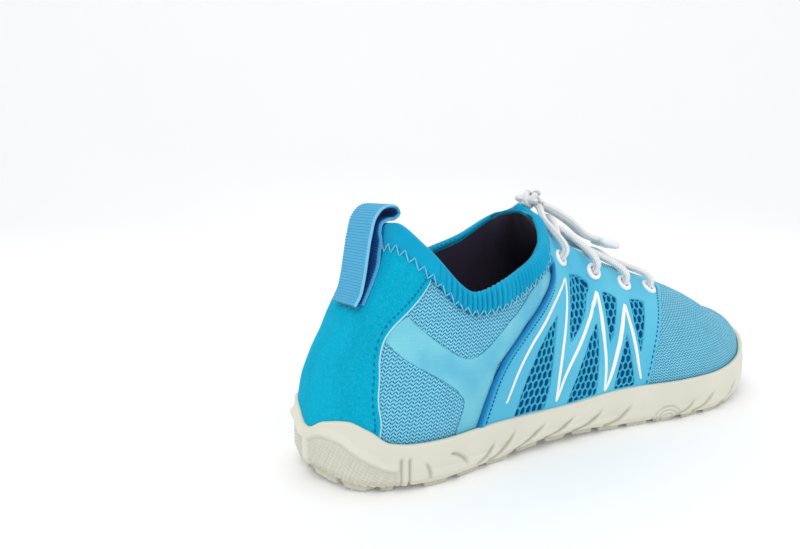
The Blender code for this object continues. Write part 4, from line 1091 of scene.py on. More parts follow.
def suede_finish(colours):
    """Brushed nap; the mark is the distance from the panel's front edge, which is painted pale, partly as its cut
    edge and partly as a painted highlight.
    """
    nap_tint = opaque(colours.suede_nap)
    make = Finish(
        "heel_suede", 0.95, Specular_IOR_Level=0.05, Sheen_Weight=0.28, Sheen_Roughness=0.4, Sheen_Tint=nap_tint
    )
    nap = make.noise(2700.0, 3.0, 0.65)
    clump = make.noise(850.0, 3.0, 0.6)
    ground = make.mottle(colours.suede, 0.86, make.noise(70.0, 3.0, 0.5, (1.0, 1.0, 0.45)))
    fibres = make.times(make.band(nap, 0.42, 0.75), make.band(clump, 0.3, 0.7))
    colour = make.tint(ground, fibres, 0.75, colours.suede_nap)
    colour = make.mix(make.band(nap, 0.44, 0.28, 0.0, 0.45), colour, darker(colours.suede, 0.6))
    cut = make.band(make.mark_length(), 0.40, 0.75, 1.0, 0.0)
    make.bump(nap, 0.20 * MM, 0.8)
    make.bump(clump, 0.25 * MM, 0.6)
    # Pale front edge: partly the suede's cut edge, partly a painted highlight along it.
    return make.done(make.tint(colour, cut, 0.95, colours.cut_edge_and_highlight))


def collar_finish(colours):
    """Fine stretch rib with painted shade in the gathers' valleys; the mark is the height of the gathers."""
    make = Finish("collar_stretch", 0.75, Specular_IOR_Level=0.12, Sheen_Weight=0.06)
    u, v = make.lengths()
    course = make.plus(make.math("DIVIDE", v, 0.5), make.waves(u, 0.42))
    loop = make.band(make.from_middle(course), 0.1, 0.4)
    colour = make.mottle(colours.collar, 0.92, make.noise(90.0, 3.0))
    colour = make.tint(colour, loop, 0.22, darker(colours.collar, 0.62))
    # Painted shade: darker where the gathers sink into valleys.
    deep = make.band(make.mark_length(), -0.55, 0.05, 1.0, 0.0)
    make.bump(loop, 0.12 * MM, 0.8)
    return make.done(make.tint(colour, deep, 0.6, darker(colours.collar, 0.5)))


def film_finish(colours):
    """Fused film over the knit; the mark is the distance from its worn edge."""
    make = Finish("quarter_film", 0.5, Specular_IOR_Level=0.3, Coat_Weight=0.08, Coat_Roughness=0.4)
    knit = zigzag_rows(make, 2.2, 1.3, 1.15)
    colour = make.mix(make.band(make.noise(60.0), 0.32, 0.68), colours.film, colours.film_deep)
    colour = make.tint(colour, knit, 0.07, darker(colours.film_deep, 0.75))
    cut = make.band(make.mark_length(), 0.12, 0.42, 1.0, 0.0)
    broken = make.times(cut, make.band(make.noise(900.0), 0.42, 0.55))
    make.bump(knit, 0.10 * MM, 0.5)
    make.bump(make.noise(2600.0), 0.06 * MM, 0.5)
    return make.done(make.tint(colour, broken, 0.6, colours.knit_hole))


def saddle_finish(colours):
    """Satin film with a painted shadow at the raised rear bead's rear foot; the mark is the distance from the
    raised rear bead's outer edge.
    """
    make = Finish("saddle_film", 0.45, Specular_IOR_Level=0.3, Coat_Weight=0.08, Coat_Roughness=0.35)
    away = make.mark_length()
    plain = make.mix(make.band(make.noise(45.0), 0.3, 0.7), colours.saddle, colours.saddle_light)
    colour = make.mix(make.band(away, 2.9, 4.4, 1.0, 0.0), plain, colours.bead)
    make.bump(make.noise(3200.0), 0.05 * MM, 0.6)
    # Painted shadow: darkened along the bead's rear foot.
    return make.done(make.tint(colour, make.band(away, 0.35, 1.7, 1.0, 0.0), 0.9, colours.bead_rear_shadow))


def web_finish(colours):
    make = Finish("honeycomb_web", 0.6, Specular_IOR_Level=0.2)
    yarn = make.noise(3000.0, 3.0, 0.6)
    make.bump(yarn, 0.12 * MM, 0.7)
    return make.done(make.mottle(colours.web, 0.72, yarn, 0.3, 0.72))


def backing_finish(colours):
    # Cloth behind the web, darkened as painted shade seen through the honeycomb's holes.
    make = Finish("window_backing", 0.9, Specular_IOR_Level=0.1)
    weave = make.weave(8.0, 8.0)
    make.bump(weave, 0.15 * MM)
    return make.done(make.mottle(colours.web_hole_shade, 0.7, weave, -0.5, 0.9))


def print_finish(colours):
    make = Finish("white_print", 0.35, Coat_Weight=0.2, Coat_Roughness=0.3)
    grain = make.noise(1800.0)
    make.bump(grain, 0.05 * MM, 0.5)
    return make.done(make.mottle(colours.white, 0.95, grain))


def lace_finish(colours):
    """Braid: strands lean both ways round the cord, with painted shade in the grooves between them."""
    make = Finish("lace_braid", 0.7, Sheen_Weight=0.3)
    turn, reach = make.cloth()
    turn, reach = make.times(turn, 8.0), make.times(reach, 9.0)
    leaning = [make.math("PINGPONG", lean(turn, reach), 0.5) for lean in (make.plus, make.minus)]
    braid = make.math("MAXIMUM", *leaning)
    make.bump(braid, 0.35 * MM, 0.8)
    # Painted shade: darker where the braid's height is low, between the strands.
    return make.done(make.mottle(colours.lace, 0.72, braid, 0.18, 0.44))


def thread_finish(name, colour):
    make = Finish(name, 0.7, Specular_IOR_Level=0.15)
    twist = make.noise(3800.0)
    make.bump(twist, 0.08 * MM, 0.7)
    return make.done(make.mottle(colour, 0.8, twist))


def webbing_finish(name, colour, edge_colour):
    """Ribbed ribbon with painted shade in lines across the ribs; the mark is the distance from the nearer edge."""
    make = Finish(name, 0.65, Specular_IOR_Level=0.2, Sheen_Weight=0.08)
    u, v = make.lengths()
    ends = make.waves(u, 0.45)
    # Painted shade: dark lines across the ribbon at the rib pitch.
    rib_shade = make.band(make.from_middle(make.math("DIVIDE", v, WEBBING_RIB / MM)), 0.30, 0.5)
    body = make.mottle(colour, 0.86, ends, 0.1, 0.4)
    body = make.tint(body, rib_shade, 0.85, darker(colour, 0.45))
    make.bump(ends, 0.10 * MM, 0.6)
    return make.done(make.tint(body, make.band(make.mark_length(), 0.55, 1.1, 1.0, 0.0), 0.7, edge_colour))


def rubber_finish(colours):
    """Matt moulded rubber with painted shade in its relief; the mark is how deep a place lies in its relief, from
    0 to 1.
    """
    make = Finish("sole_rubber", 0.55)
    cloud = make.noise(26.0, 3.0)
    plain = make.mix(make.band(cloud, 0.3, 0.7), colours.rubber, darker(colours.rubber, 0.94))
    # Painted shade: darker where the relief lies deep.
    colour = make.tint(plain, make.band(make.mark(), 0.15, 0.9), 0.85, colours.rubber_relief_shade)
    make.bump(make.noise(1500.0, 3.0), 0.05 * MM, 0.6)
    return make.done(colour, make.band(cloud, 0.3, 0.7, 0.48, 0.62))


def insole_finish(colours):
    make = Finish("insole_cover", 0.9, Sheen_Weight=0.15)
    spots = make.node("ShaderNodeTexVoronoi", {"Vector": make.place(), "Scale": 420.0})
    make.bump(spots, 0.25 * MM, 0.7)
    return make.done(make.mottle(colours.insole, 0.6, spots, 0.1, 0.5))


def floor_finish(colours):
    make = Finish("studio_floor", 0.75, Emission_Color=(1.0, 1.0, 1.0, 1.0), Emission_Strength=0.07)
    cloud = make.band(make.noise(3.0), 0.3, 0.7)
    return make.done(make.mix(cloud, colours.floor, darker(colours.floor, 0.99)))


FINISHES = {}


def make_finishes(colours, sizes):
    FINISHES.clear()
    FINISHES.update(
        knit=knit_finish(colours, sizes),
        lining=lining_finish(colours),
        suede=suede_finish(colours),
        collar=collar_finish(colours),
        film=film_finish(colours),
        saddle=saddle_finish(colours),
        web=web_finish(colours),
        backing=backing_finish(colours),
        print=print_finish(colours),
        lace=lace_finish(colours),
        dark_thread=thread_finish("dark_thread", colours.dark_thread),
        pale_thread=thread_finish("pale_thread", colours.pale_thread),
        webbing=webbing_finish("loop_webbing", colours.webbing, colours.webbing_edge),
        # The loop's inner face takes a darker copy of the webbing: painted shade.
        webbing_inside=webbing_finish("loop_webbing_inside", colours.webbing_inside, colours.webbing),
        rubber=rubber_finish(colours),
        insole=insole_finish(colours),
        floor=floor_finish(colours),
    )


SIDES = (("outer", False), ("inner", True))


def sided(line, mirror):
    return mirrored(line) if mirror else np.asarray(line, float)


UPPER_COLS = 600
UPPER_ROWS = 72
UPPER_FOOT = 0.02
WELD = 2e-6


def build_upper():
    """Knitted bootie: outer face, lining and the edges between them."""
    ups = np.concatenate([[0.0], np.linspace(UPPER_FOOT, 1.0, UPPER_ROWS - 1)])
    grid_round, grid_up = np.meshgrid(np.arange(UPPER_COLS) / UPPER_COLS, ups)
    wall = UPPER_WALL * ease(grid_up, -0.001, UPPER_FOOT)
    lengths = chart(grid_round, grid_up)
    faces = grid_faces(UPPER_ROWS, UPPER_COLS, wrap_cols=True)
    shape = Shape()
    shape.add(over_skin(grid_round, grid_up, 0.0), faces, lengths)
    shape.add(off_skin(grid_round, grid_up, -wall), faces[:, ::-1], lengths, kind=1)
    return dress(shape.build("upper_knit", "knit", "lining", turned=False, merge=WELD), "knit", "upper")


INSOLE_COLS = 320
INSOLE_ACROSS = 14
INSOLE_INSET = CUP_WALL + UPPER_WALL + 1.2 * MM
INSOLE_EDGE = (
    # inset in mm, share of the height
    (0.0, 0.0),
    (0.0, 0.6),
    (0.25, 0.85),
    (0.9, 1.0),
)


def across_ring(ring, count):
    """Points over the floor of a closed ring, in rows from its left side to its right one."""
    half = len(ring) // 2
    left, right = ring[1:half], ring[:half:-1]
    return left[:, None] + (right - left)[:, None] * np.linspace(0, 1, count)[None, :, None]


def build_insole():
    """Flat foam footbed with a soft rounded edge."""
    plan, out = outline(np.arange(INSOLE_COLS) / INSOLE_COLS)
    low = cup_floor(plan[:, 1]) + CLEAR
    rings = []
    for more, share in INSOLE_EDGE:
        place = plan - out * (INSOLE_INSET + more * MM)
        rings.append(np.column_stack([place[:, 0], place[:, 1] - HEEL_BACK, low + INSOLE_THICK * share]))
    shape = Shape()
    faces = grid_faces(len(rings), INSOLE_COLS, wrap_cols=True)
    shape.add(rings, faces, np.tile(plan, (len(rings), 1)))
    half = INSOLE_COLS // 2
    for ring in (rings[0], rings[-1]):
        across = across_ring(ring, INSOLE_ACROSS)
        shape.add(across, grid_faces(half - 1, INSOLE_ACROSS), across[..., :2])
        for tip, row in ((ring[0], 0), (ring[half], half - 2)):
            first = shape.count + (row - half + 1) * INSOLE_ACROSS
            shape.add_tip(tip, range(first, first + INSOLE_ACROSS))
    return dress(shape.build("insole_footbed", "insole", merge=WELD), "insole_foam", "insole")


COUNTER_UNDER_BAND = (0.0, 0.015)
COUNTER_SEAM = 2.5 * MM


def across_heel(line):
    """The same flat line on the other side of the heel's middle."""
    return line * (-1.0, 1.0)


def build_counter():
    """Napped suede round the heel with a pale front edge, partly cut edge and partly painted highlight, and its
    row of dark stitches.
    """
    side = softened(rows_above(COUNTER_FRONT), times=3)
    seam = [(place, up) for place, up in BAND_SEAM if place < COUNTER_FRONT[-1][0]]
    top = np.array([*seam, COUNTER_FRONT[-1]]) + COUNTER_UNDER_BAND
    front, back = spread(side), spread(across_heel(side)[::-1])
    over = np.concatenate([top[::-1], across_heel(top[1:])])
    foot = side[0][0]
    loop = np.concatenate([front[:-1], spread(over), back[1:], along_sole(-foot, foot, 90)[1:-1]])

    def from_front(round_, up, away):
        places = np.stack([round_, up], 1)
        return np.minimum(*[line_distance(places, line, closed=False) for line in (front, back)])

    def soft(round_, up, away):
        near = from_front(round_, up, away)
        return 0.25 * MM * ease(near, 2.2 * MM, 7 * MM) - 0.22 * MM * hump(near - COUNTER_SEAM, 0.6 * MM)

    shape = Shape()
    patch(shape, loop, [], 0.05 * MM, 0.95 * MM, edge=0.45 * MM, relief=soft, mark=from_front)
    dress(shape.build("heel_counter_suede", "suede"), "heel_suede", "heel_counter")
    threads = Shape()
    for line, inset in ((side, COUNTER_SEAM), (across_heel(side), -COUNTER_SEAM)):
        add_running_stitch(threads, line, 2.1 * MM, 1.35 * MM, inset, 0.9 * MM, 0.27 * MM, 14)
    ends = np.array([LOOP_ASIDE - LOOP_WIDTH / 2, LOOP_ASIDE + LOOP_WIDTH / 2]) / FLAT[0]
    places = np.linspace(*ends, 12)
    for kind, height in enumerate((59.9 * MM, 61.1 * MM)):
        base = float(up_at_height(np.array(0.0), height))
        row = np.column_stack([places, base + 0.004 * np.sin(places * 900)])
        add_running_stitch(threads, row, 1.7 * MM, 1.2 * MM, 0.0, 1.25 * MM, 0.24 * MM, 25, kind)
    return dress(threads.build("heel_counter_stitches", "dark_thread", "pale_thread"), "heel_suede")


def seam_places(rim):
    """Where the band's lower seam lies for places on its rim; at the front it runs up to the ridge."""
    at = np.abs(rim)
    places, ups = columns(BAND_SEAM)
    ahead = ease(at, BAND_SEAM[-1][0], COLLAR_FRONT)
    low = np.interp(at, places, ups) * (1 - ahead) + SEAM_FRONT[1] * ahead
    return np.sign(rim) * (at + (SEAM_FRONT[0] - COLLAR_FRONT) * ahead), low


PLEAT = 3.1
FINE_PLEAT = 2.9


def gathers(rim, share):
    """Soft pleats that the elastic pulls into the collar's dip."""
    at = np.abs(rim) * FLAT[0] / MM
    dip = rise_and_fall(np.abs(rim), 0.055, 0.085, 0.185, 0.215)
    wave = np.abs(np.sin(at * math.pi / PLEAT + 0.8 * np.sin(at / 9.0))) ** 0.8 - 0.6
    wave = wave + 0.12 * np.sin(at * 2 * math.pi / FINE_PLEAT + 2.0)
    return 1.15 * MM * dip * wave * ease(share, 0.02, 0.25) * (1 - 0.4 * ease(share, 0.75, 1.0))


COLLAR_COLS = 760
COLLAR_ROWS = 22
ROLL_ROWS = 14
INNER_ROWS = 5
ROLL_RADIUS = 1.9 * MM
ROLL_FLAT = 0.85


def build_collar():
    """Stretch band: padded roll round the opening, with gathers, a seam and zigzag stitches over it."""
    rim = (np.arange(COLLAR_COLS) + 0.5) / COLLAR_COLS * 2 * COLLAR_FRONT - COLLAR_FRONT
    seam_round, seam_up = seam_places(rim)
    share = np.broadcast_to(np.linspace(0, 1, COLLAR_ROWS)[:, None], (COLLAR_ROWS, COLLAR_COLS))
    bulge = np.sqrt(np.clip(1 - (1 - np.clip(share / 0.16, 0, 1)) ** 2, 0, 1))
    full = (0.15 + 1.15 * bulge + 0.45 * np.sin(share * math.pi) ** 0.8) * MM
    folds = gathers(rim, share)
    face = over_skin(seam_round + (rim - seam_round) * share, seam_up + (0.998 - seam_up) * share, full + folds)
    rise = unit(face[-1] - face[-2])
    out = skin_out(rim, 0.99)
    out = unit(out - rise * (out * rise).sum(1, keepdims=True))
    angles = np.linspace(0, math.pi, ROLL_ROWS)[1:, None, None]
    middle = face[-1] - out * ROLL_RADIUS
    roll = middle + ROLL_RADIUS * (np.cos(angles) * out + np.sin(angles) * rise * ROLL_FLAT)
    inner_up = 1 - np.linspace(0.01, 0.06, INNER_ROWS)[:, None]
    sunk = np.linspace(2 * ROLL_RADIUS - 1.3 * MM, UPPER_WALL - 0.3 * MM, INNER_ROWS)[:, None]
    drop = off_skin(rim, inner_up, -sunk)
    back = over_skin(seam_round, seam_up, -0.4 * MM)[None]
    under = over_skin(rim, 0.94, -0.5 * UPPER_WALL)[None]
    points = np.concatenate([back, face, roll, drop, under])
    lengths = np.stack(np.broadcast_arrays(rim * FLAT[0], run_lengths(points)), -1)
    marks = np.zeros(points.shape[:2])
    # The gathers' heights, which the collar's finish turns into painted shade in their valleys.
    marks[1 : COLLAR_ROWS + 1] = folds
    marks[COLLAR_ROWS + 1 : COLLAR_ROWS + ROLL_ROWS] = folds[-1]
    shape = Shape()
    shape.add(points, grid_faces(len(points), COLLAR_COLS, wrap_rows=True, wrap_cols=True), lengths, marks)
    dress(shape.build("collar_band_stretch", "collar"), "collar_stretch", "collar_band")
    threads = Shape()
    line = np.stack(seam_places(np.linspace(-0.222, 0.222, 500)), 1)
    places, way, left = along_line(line, 2.3 * MM)
    legs = np.where(np.arange(len(places) + 1) % 2 == 0, 2.2 * MM, -1.6 * MM)
    middles = np.concatenate([places - way * MM, places[-1:] + way[-1:] * MM])
    corners = (middles + np.concatenate([left, left[-1:]]) * (legs[:, None] + 0.4 * MM)) / FLAT
    add_stitches(threads, corners[:-1], corners[1:], 1.75 * MM, 0.24 * MM)
    add_running_stitch(threads, line, 2.0 * MM, 1.5 * MM, -0.25 * MM, 0.75 * MM, 0.24 * MM, kind=1)
    return dress(threads.build("collar_band_stitches", "pale_thread", "dark_thread"), "collar_stretch")


def film_loop():
    """Outline of the film, a hair clear of the heel panel and the saddle."""
    gap = 0.6 * MM / FLAT[0]
    counter = [(place - gap, up) for place, up in COUNTER_FRONT if FILM_LOW[-1][1] < up < FILM_TOP[0][1]]
    top = softened([(FILM_TOP[0][0] - gap, FILM_TOP[0][1]), *FILM_TOP[1:]], times=3)
    low = softened([*rows_above(FILM_LOW)[:-1], (FILM_LOW[-1][0] - gap, FILM_LOW[-1][1])], times=3)
    highest = FILM_TOP[-1][1] - 0.02
    saddle = [(place + gap, up) for place, up in reversed(rows_above(SADDLE_REAR)) if up < highest]
    sole = along_sole(saddle[-1][0], low[0][0], 16)
    return np.concatenate([spread([*counter, *top, *saddle]), sole[1:-1], spread(low)])


def build_films():
    """Pale films fused on the knit behind each saddle."""
    for side, mirror in SIDES:
        shape = Shape()
        patch(shape, sided(film_loop(), mirror), [], 0.05 * MM, 0.28 * MM, edge=0.25 * MM)
        dress(shape.build(f"quarter_film_sheet_{side}", "film"), "quarter_film", f"quarter_film_{side}")


def saddle_rear_line():
    return softened(rows_above(SADDLE_REAR), times=3)


def saddle_front_rows():
    return rows_above(tuple(reversed(SADDLE_FRONT)))[::-1]


def saddle_loop():
    rear, front = saddle_rear_line(), saddle_front_rows()
    scallops = softened([rear[-1], *EYESTAY_EDGE, *front[1:]], times=3)
    edge = spread(np.concatenate([rear, scallops[1:]]))
    return np.concatenate([edge, along_sole(front[-1][0], rear[0][0], 120)[1:-1]])


def window_loops():
    """The windows: the upper ones are triangles with soft corners, the lower ones run out at the sole."""
    loops = []
    for corners in WINDOWS:
        corners = [(place, max(up, float(above_sole(place)) + 0.012)) for place, up in corners]
        corners = spread(corners, closed=True, step=2.5 * MM)
        loops.append(spread(softened(corners, closed=True), closed=True))
    return loops


BEAD_WIDTH = 3.6 * MM
BEAD_HEIGHT = 1.05 * MM
BEAD_SEAM = 4.5 * MM


def build_saddles():
    """Satin side panels with six windows, a raised bead down the rear and stitches beside it and in front."""
    holes = window_loops()
    holes += [ring_on_skin(place, up, 2.9 * MM, 28) for place, up in EYELETS]
    loop = saddle_loop()
    front_line = softened(saddle_front_rows())
    for side, mirror in SIDES:
        rear = sided(saddle_rear_line(), mirror)

        def from_bead(round_, up, away, rear=rear):
            return line_distance(np.stack([round_, up], 1), rear, closed=False)

        def relief(round_, up, away, from_bead=from_bead, mirror=mirror):
            near = from_bead(round_, up, away)
            share = np.clip(near / BEAD_WIDTH, 0, 1)
            bead = BEAD_HEIGHT * np.sin(share * math.pi) ** 0.7 * (near < BEAD_WIDTH)
            groove = 0.25 * MM * hump(near - BEAD_SEAM, 0.7 * MM)
            stays = 0.35 * MM * ease(up, 0.60, 0.68) * ease(1 - round_ if mirror else round_, 0.21, 0.23)
            return bead - groove + stays

        shape = Shape()
        cut = [sided(hole, mirror) for hole in holes]
        panel = sided(loop, mirror)
        patch(shape, panel, cut, 0.25 * MM, 0.95 * MM, 1.15 * MM, 0.45 * MM, relief, from_bead)
        dress(shape.build(f"saddle_panel_{side}", "saddle"), "saddle_film", f"saddle_{side}")
        threads = Shape()
        low_rear, front = rear[rear[:, 1] < 0.80], sided(front_line, mirror)
        add_running_stitch(threads, low_rear, 1.9 * MM, 1.4 * MM, -BEAD_SEAM, 1.05 * MM, 0.32 * MM, -16)
        add_running_stitch(threads, front, 2.4 * MM, 1.6 * MM, -1.7 * MM, 1.25 * MM, 0.3 * MM)
        dress(threads.build(f"saddle_stitches_{side}", "dark_thread"), "saddle_film")


HEXAGON = ((0, 0.5), (0.5, 0.25), (0.5, -0.25), (0, -0.5), (-0.5, -0.25), (-0.5, 0.25))


def hexagon(width, height):
    """Corners and edge middles of a tall hexagon."""
    corners = np.array(HEXAGON) * (width, height)
    middles = (corners + np.roll(corners, -1, 0)) / 2
    return np.stack([corners, middles], 1).reshape(-1, 2)


WINDOW_STEP = 0.004


def window_plane(loop):
    """Middle of a window and the matrix from (round, up) steps to metres across and up its tangent plane."""
    centre = loop.mean(0)
    place, up = centre
    step = WINDOW_STEP
    along = (skin(place + step, up) - skin(place - step, up)) / (2 * step)
    rise = (skin(place, up + step) - skin(place, up - step)) / (2 * step)
    out = np.cross(along, rise)
    across = np.cross(UPRIGHT, out)
    across /= np.linalg.norm(across) * np.sign(across @ along)
    up = np.cross(out, across)
    up /= np.linalg.norm(up) * np.sign(up @ rise)
    return centre, np.array([[along @ across, rise @ across], [along @ up, rise @ up]])


def web_cells(loop, centre, to_plane, wide, tall):
    """Middles of the cells that a window shows, in metres of its plane."""
    flat = (loop - centre) @ to_plane.T
    (left, low), (right, high) = flat.min(0) - 2 * MM, flat.max(0) + 2 * MM
    cells = []
    for row in np.arange(math.floor(low / tall), math.ceil(high / tall) + 1):
        start = (row % 2) * wide / 2
        steps = np.arange(math.floor(left / wide), math.ceil(right / wide) + 1)
        cells += [(start + step * wide, row * tall) for step in steps]
    cells = np.array(cells)
    places = cells @ np.linalg.inv(to_plane).T + centre
    kept = inside(places, loop) | (line_distance(places, loop) < 1.3 * MM)
    return cells[kept & (places[:, 1] > above_sole(places[:, 0]) - 0.01)]


def web_rings(wide, tall, strand):
    """Outlines of one cell of the web, from its edge to its hole, with their heights in mm."""
    outer = hexagon(wide, tall)
    reach = np.linalg.norm(outer, axis=1, keepdims=True)
    hole = outer * (1 - strand / 2 / reach * 1.1)
    hole = 0.5 * hole + 0.5 * (hole + np.roll(hole, 1, 0) + np.roll(hole, -1, 0)) / 3
    hole = hole * 1.06
    return (outer, 0.92), (hole * 0.35 + outer * 0.65, 0.86), (hole, 0.55), (hole * 0.97, 0.18)


def build_windows():
    """Honeycomb webs in the windows, over a dark backing whose colour is partly painted shade inside the holes."""
    sizes = bpy.context.scene.shoe_sizes
    wide, row = sizes.web_pitch, sizes.web_row
    outlines = web_rings(wide, row * 4 / 3, sizes.web_strand)
    count = len(outlines[0][0])
    for side, mirror in SIDES:
        shape = Shape()
        for loop in window_loops():
            centre, to_plane = window_plane(loop)
            cells = web_cells(loop, centre, to_plane, wide, row)
            rings = []
            for line, height in outlines:
                flat = (cells[:, None] + line[None]) @ np.linalg.inv(to_plane).T + centre
                flat = sided(flat.reshape(-1, 2), mirror)
                rings.append(over_skin(flat[:, 0], flat[:, 1], height * MM).reshape(len(cells), count, 3))
            faces = grid_faces(len(outlines), count, wrap_cols=True)
            shape.add(np.stack(rings, 1), repeated(faces, len(cells), len(outlines) * count))
        made = shape.build(f"window_web_{side}", "web", turned=False, merge=1e-5)
        turn_out(made, mirror)
        dress(made, "saddle_film")
        back = Shape()
        patch(back, sided(saddle_loop(), mirror), [], 0.02 * MM, 0.2 * MM, step=2.2 * MM, edge=0.3 * MM)
        dress(back.build(f"window_backing_{side}", "backing"), "saddle_film")


def turn_out(made, mirror):
    """Faces of an open sheet turned away from the foot."""
    bm = bmesh.new()
    bm.from_mesh(made.data)
    bmesh.ops.recalc_face_normals(bm, faces=bm.faces)
    total = sum(face.normal.x * face.calc_area() for face in bm.faces)
    if (total > 0) == mirror:
        bmesh.ops.reverse_faces(bm, faces=bm.faces)
    bm.to_mesh(made.data)
    bm.free()


def ribbon_loop(line, width):
    """Outline of a flat ribbon along a line in metres, its width given at each point, as (round, up)."""
    left = to_left(unit(np.gradient(line, axis=0))) * width[:, None] / 2
    return np.concatenate([line + left, (line - left)[::-1]]) / FLAT


LEG_ENDS, LEG_SWELL = 0.62, 0.43


def build_zigzags():
    """Raised white line, each leg crowned, widest in its middle and rounded at its ends."""
    for side, mirror in SIDES:
        shape = Shape()
        for number, leg in enumerate(ZIGZAG):
            line = smooth_route(np.array(leg) * FLAT, 60)
            reach = run_lengths(line)
            from_end = np.minimum(reach, reach[-1] - reach)
            round_end = np.sqrt(np.clip(1 - (1 - np.clip(from_end / (0.6 * MM), 0, 1)) ** 2, 0.06, 1))
            swell = LEG_ENDS + LEG_SWELL * np.sin(reach / reach[-1] * math.pi) ** 0.8
            loop = spread(ribbon_loop(line, ZIGZAG_WIDTH * swell * round_end), closed=True, step=0.9 * MM)
            low = 1.0 * MM + 0.006 * MM * number
            patch(shape, sided(loop, mirror), [], low, 0.62 * MM, step=0.7 * MM, edge=0.8 * MM)
        dress(shape.build(f"zigzag_line_{side}", "print"), "white_print", f"zigzag_{side}")


EYELET_SIDES = 40
EYELET_SECTION = (
    # radius, height in mm
    (2.05, -1.6),
    (2.0, 0.9),
    (2.08, 1.7),
    (2.45, 2.12),
    (3.0, 2.2),
    (3.5, 1.95),
    (3.78, 1.5),
    (3.7, 0.8),
)


def build_eyelets():
    """Round-edged rings in the saddles, with a sleeve down through the cloth."""
    radii, heights = columns(EYELET_SECTION)
    faces = grid_faces(len(radii), EYELET_SIDES, wrap_rows=True, wrap_cols=True)
    for side, mirror in SIDES:
        for number, (place, up) in enumerate(EYELETS, 1):
            at = 1 - place if mirror else place
            out = skin_out(at, up)
            across = unit(np.cross(out, UPRIGHT))
            centres = over_skin(at, up, 0.0) + out * heights[:, None] * MM
            shape = Shape()
            lift = np.cross(across, out)
            shape.add(rings_round(centres, across[None], lift[None], radii * MM, EYELET_SIDES), faces)
            made = shape.build(f"eyelet_ring_{side}_{number}", "print", sharp=60)
            dress(made, "white_print", f"eyelet_{side}_{number}")


# Strands of the lace: heights over the saddle and the vamp, and the shares at which they start and cross
LACE_OVER_SADDLE = 0.0036
LACE_OVER_VAMP = 0.0021
LACE_PASS = 0.0021
LACE_START = 0.09
LACE_RIDGE = 0.2600
TOP_RIDGE = 0.2490
ARRIVE_AHEAD = 0.0185
ARRIVE_ABOVE = 0.045
UPPER_END = 0.992


def beside_edge(eyelet):
    """Where a strand from the other side goes under the saddle's edge, just ahead of an eyelet."""
    places, ups = columns(EYESTAY_EDGE)
    place = eyelet[0] + ARRIVE_AHEAD
    return place, float(np.interp(place, places, ups)) + ARRIVE_ABOVE


def strand(start, end, ridge_at, last, arch, count):
    """Route of a lace over the instep, from an outer eyelet over the ridge to a place on the inner side."""
    share = np.linspace(LACE_START, last, count)
    places, ups = [], []
    for s in share:
        from_, on = (start, s * 2) if s < 0.5 else (end, 2 - s * 2)
        place = from_[0] + (ridge_at - from_[0]) * on
        places.append(place if s < 0.5 else 1 - place)
        ups.append(min(from_[1] + (1 - from_[1]) * on, UPPER_END))
    bow = np.sin(np.clip((share - LACE_START) / (last - LACE_START), 0, 1) * math.pi)
    over = LACE_OVER_SADDLE + (LACE_OVER_VAMP - LACE_OVER_SADDLE) * ease(share, LACE_START, LACE_START + 0.3)
    return off_skin(places, ups, over + arch * bow)


EYELET_RISE = (
    # height over the cloth and lean in mm
    (-1.4, -0.1),
    (0.4, 0.0),
    (2.2, 0.15),
    (3.6, 0.9),
)


def from_eyelet(eyelet, route):
    """A route that first comes up through its eyelet and leans over its rim."""
    out, middle = skin_out(*eyelet), skin(*eyelet)
    lean = unit(route[0] - (middle + out * 3.4 * MM))
    rise = [middle + out * height * MM + lean * aside * MM for height, aside in EYELET_RISE]
    return np.concatenate([rise, route[1:]])


LACE_SIDES = 14
LACE_POINTS = 90
LACE_TIP = 14
KNOT_TURNS = (
    # tilt, half width, half depth and half height in mm, phase
    (0.5, 5.4, 3.0, 1.9, 0.0),
    (-0.5, 5.2, 3.1, 2.1, 1.6),
    (1.35, 2.5, 3.2, 2.4, 0.6),
)


def lace_piece(shape, name, node):
    return dress(shape.build(name, "lace"), "lace_cord", node)


def build_crossings():
    """Two strands from each pair of eyelets, whose ends go under the other side's edge."""
    radius = LACE_DIAMETER / 2
    thin = np.linspace(radius, radius * 0.62, LACE_TIP)
    taper = np.concatenate([np.full(LACE_POINTS - LACE_TIP, radius), thin])
    for number in (1, 2, 3):
        front, end = EYELETS[number], beside_edge(EYELETS[number - 1])
        ridge_at = max((front[0] + end[0]) / 2, LACE_RIDGE)
        under = [off_skin(1 - end[0], end[1] - down, height * MM) for down, height in ((0.03, 0.9), (0.07, -0.2))]
        shape = Shape()
        for side, arch in (("outer", 0.0), ("inner", LACE_PASS)):
            route = from_eyelet(front, strand(front, end, ridge_at, 1.0, arch, 9))
            route = smooth_route(np.concatenate([route, under]), LACE_POINTS)
            add_tube(shape, route * FACING[side], taper, LACE_SIDES)
        lace_piece(shape, f"lace_strands_{number}", f"lace_cross_{number}")


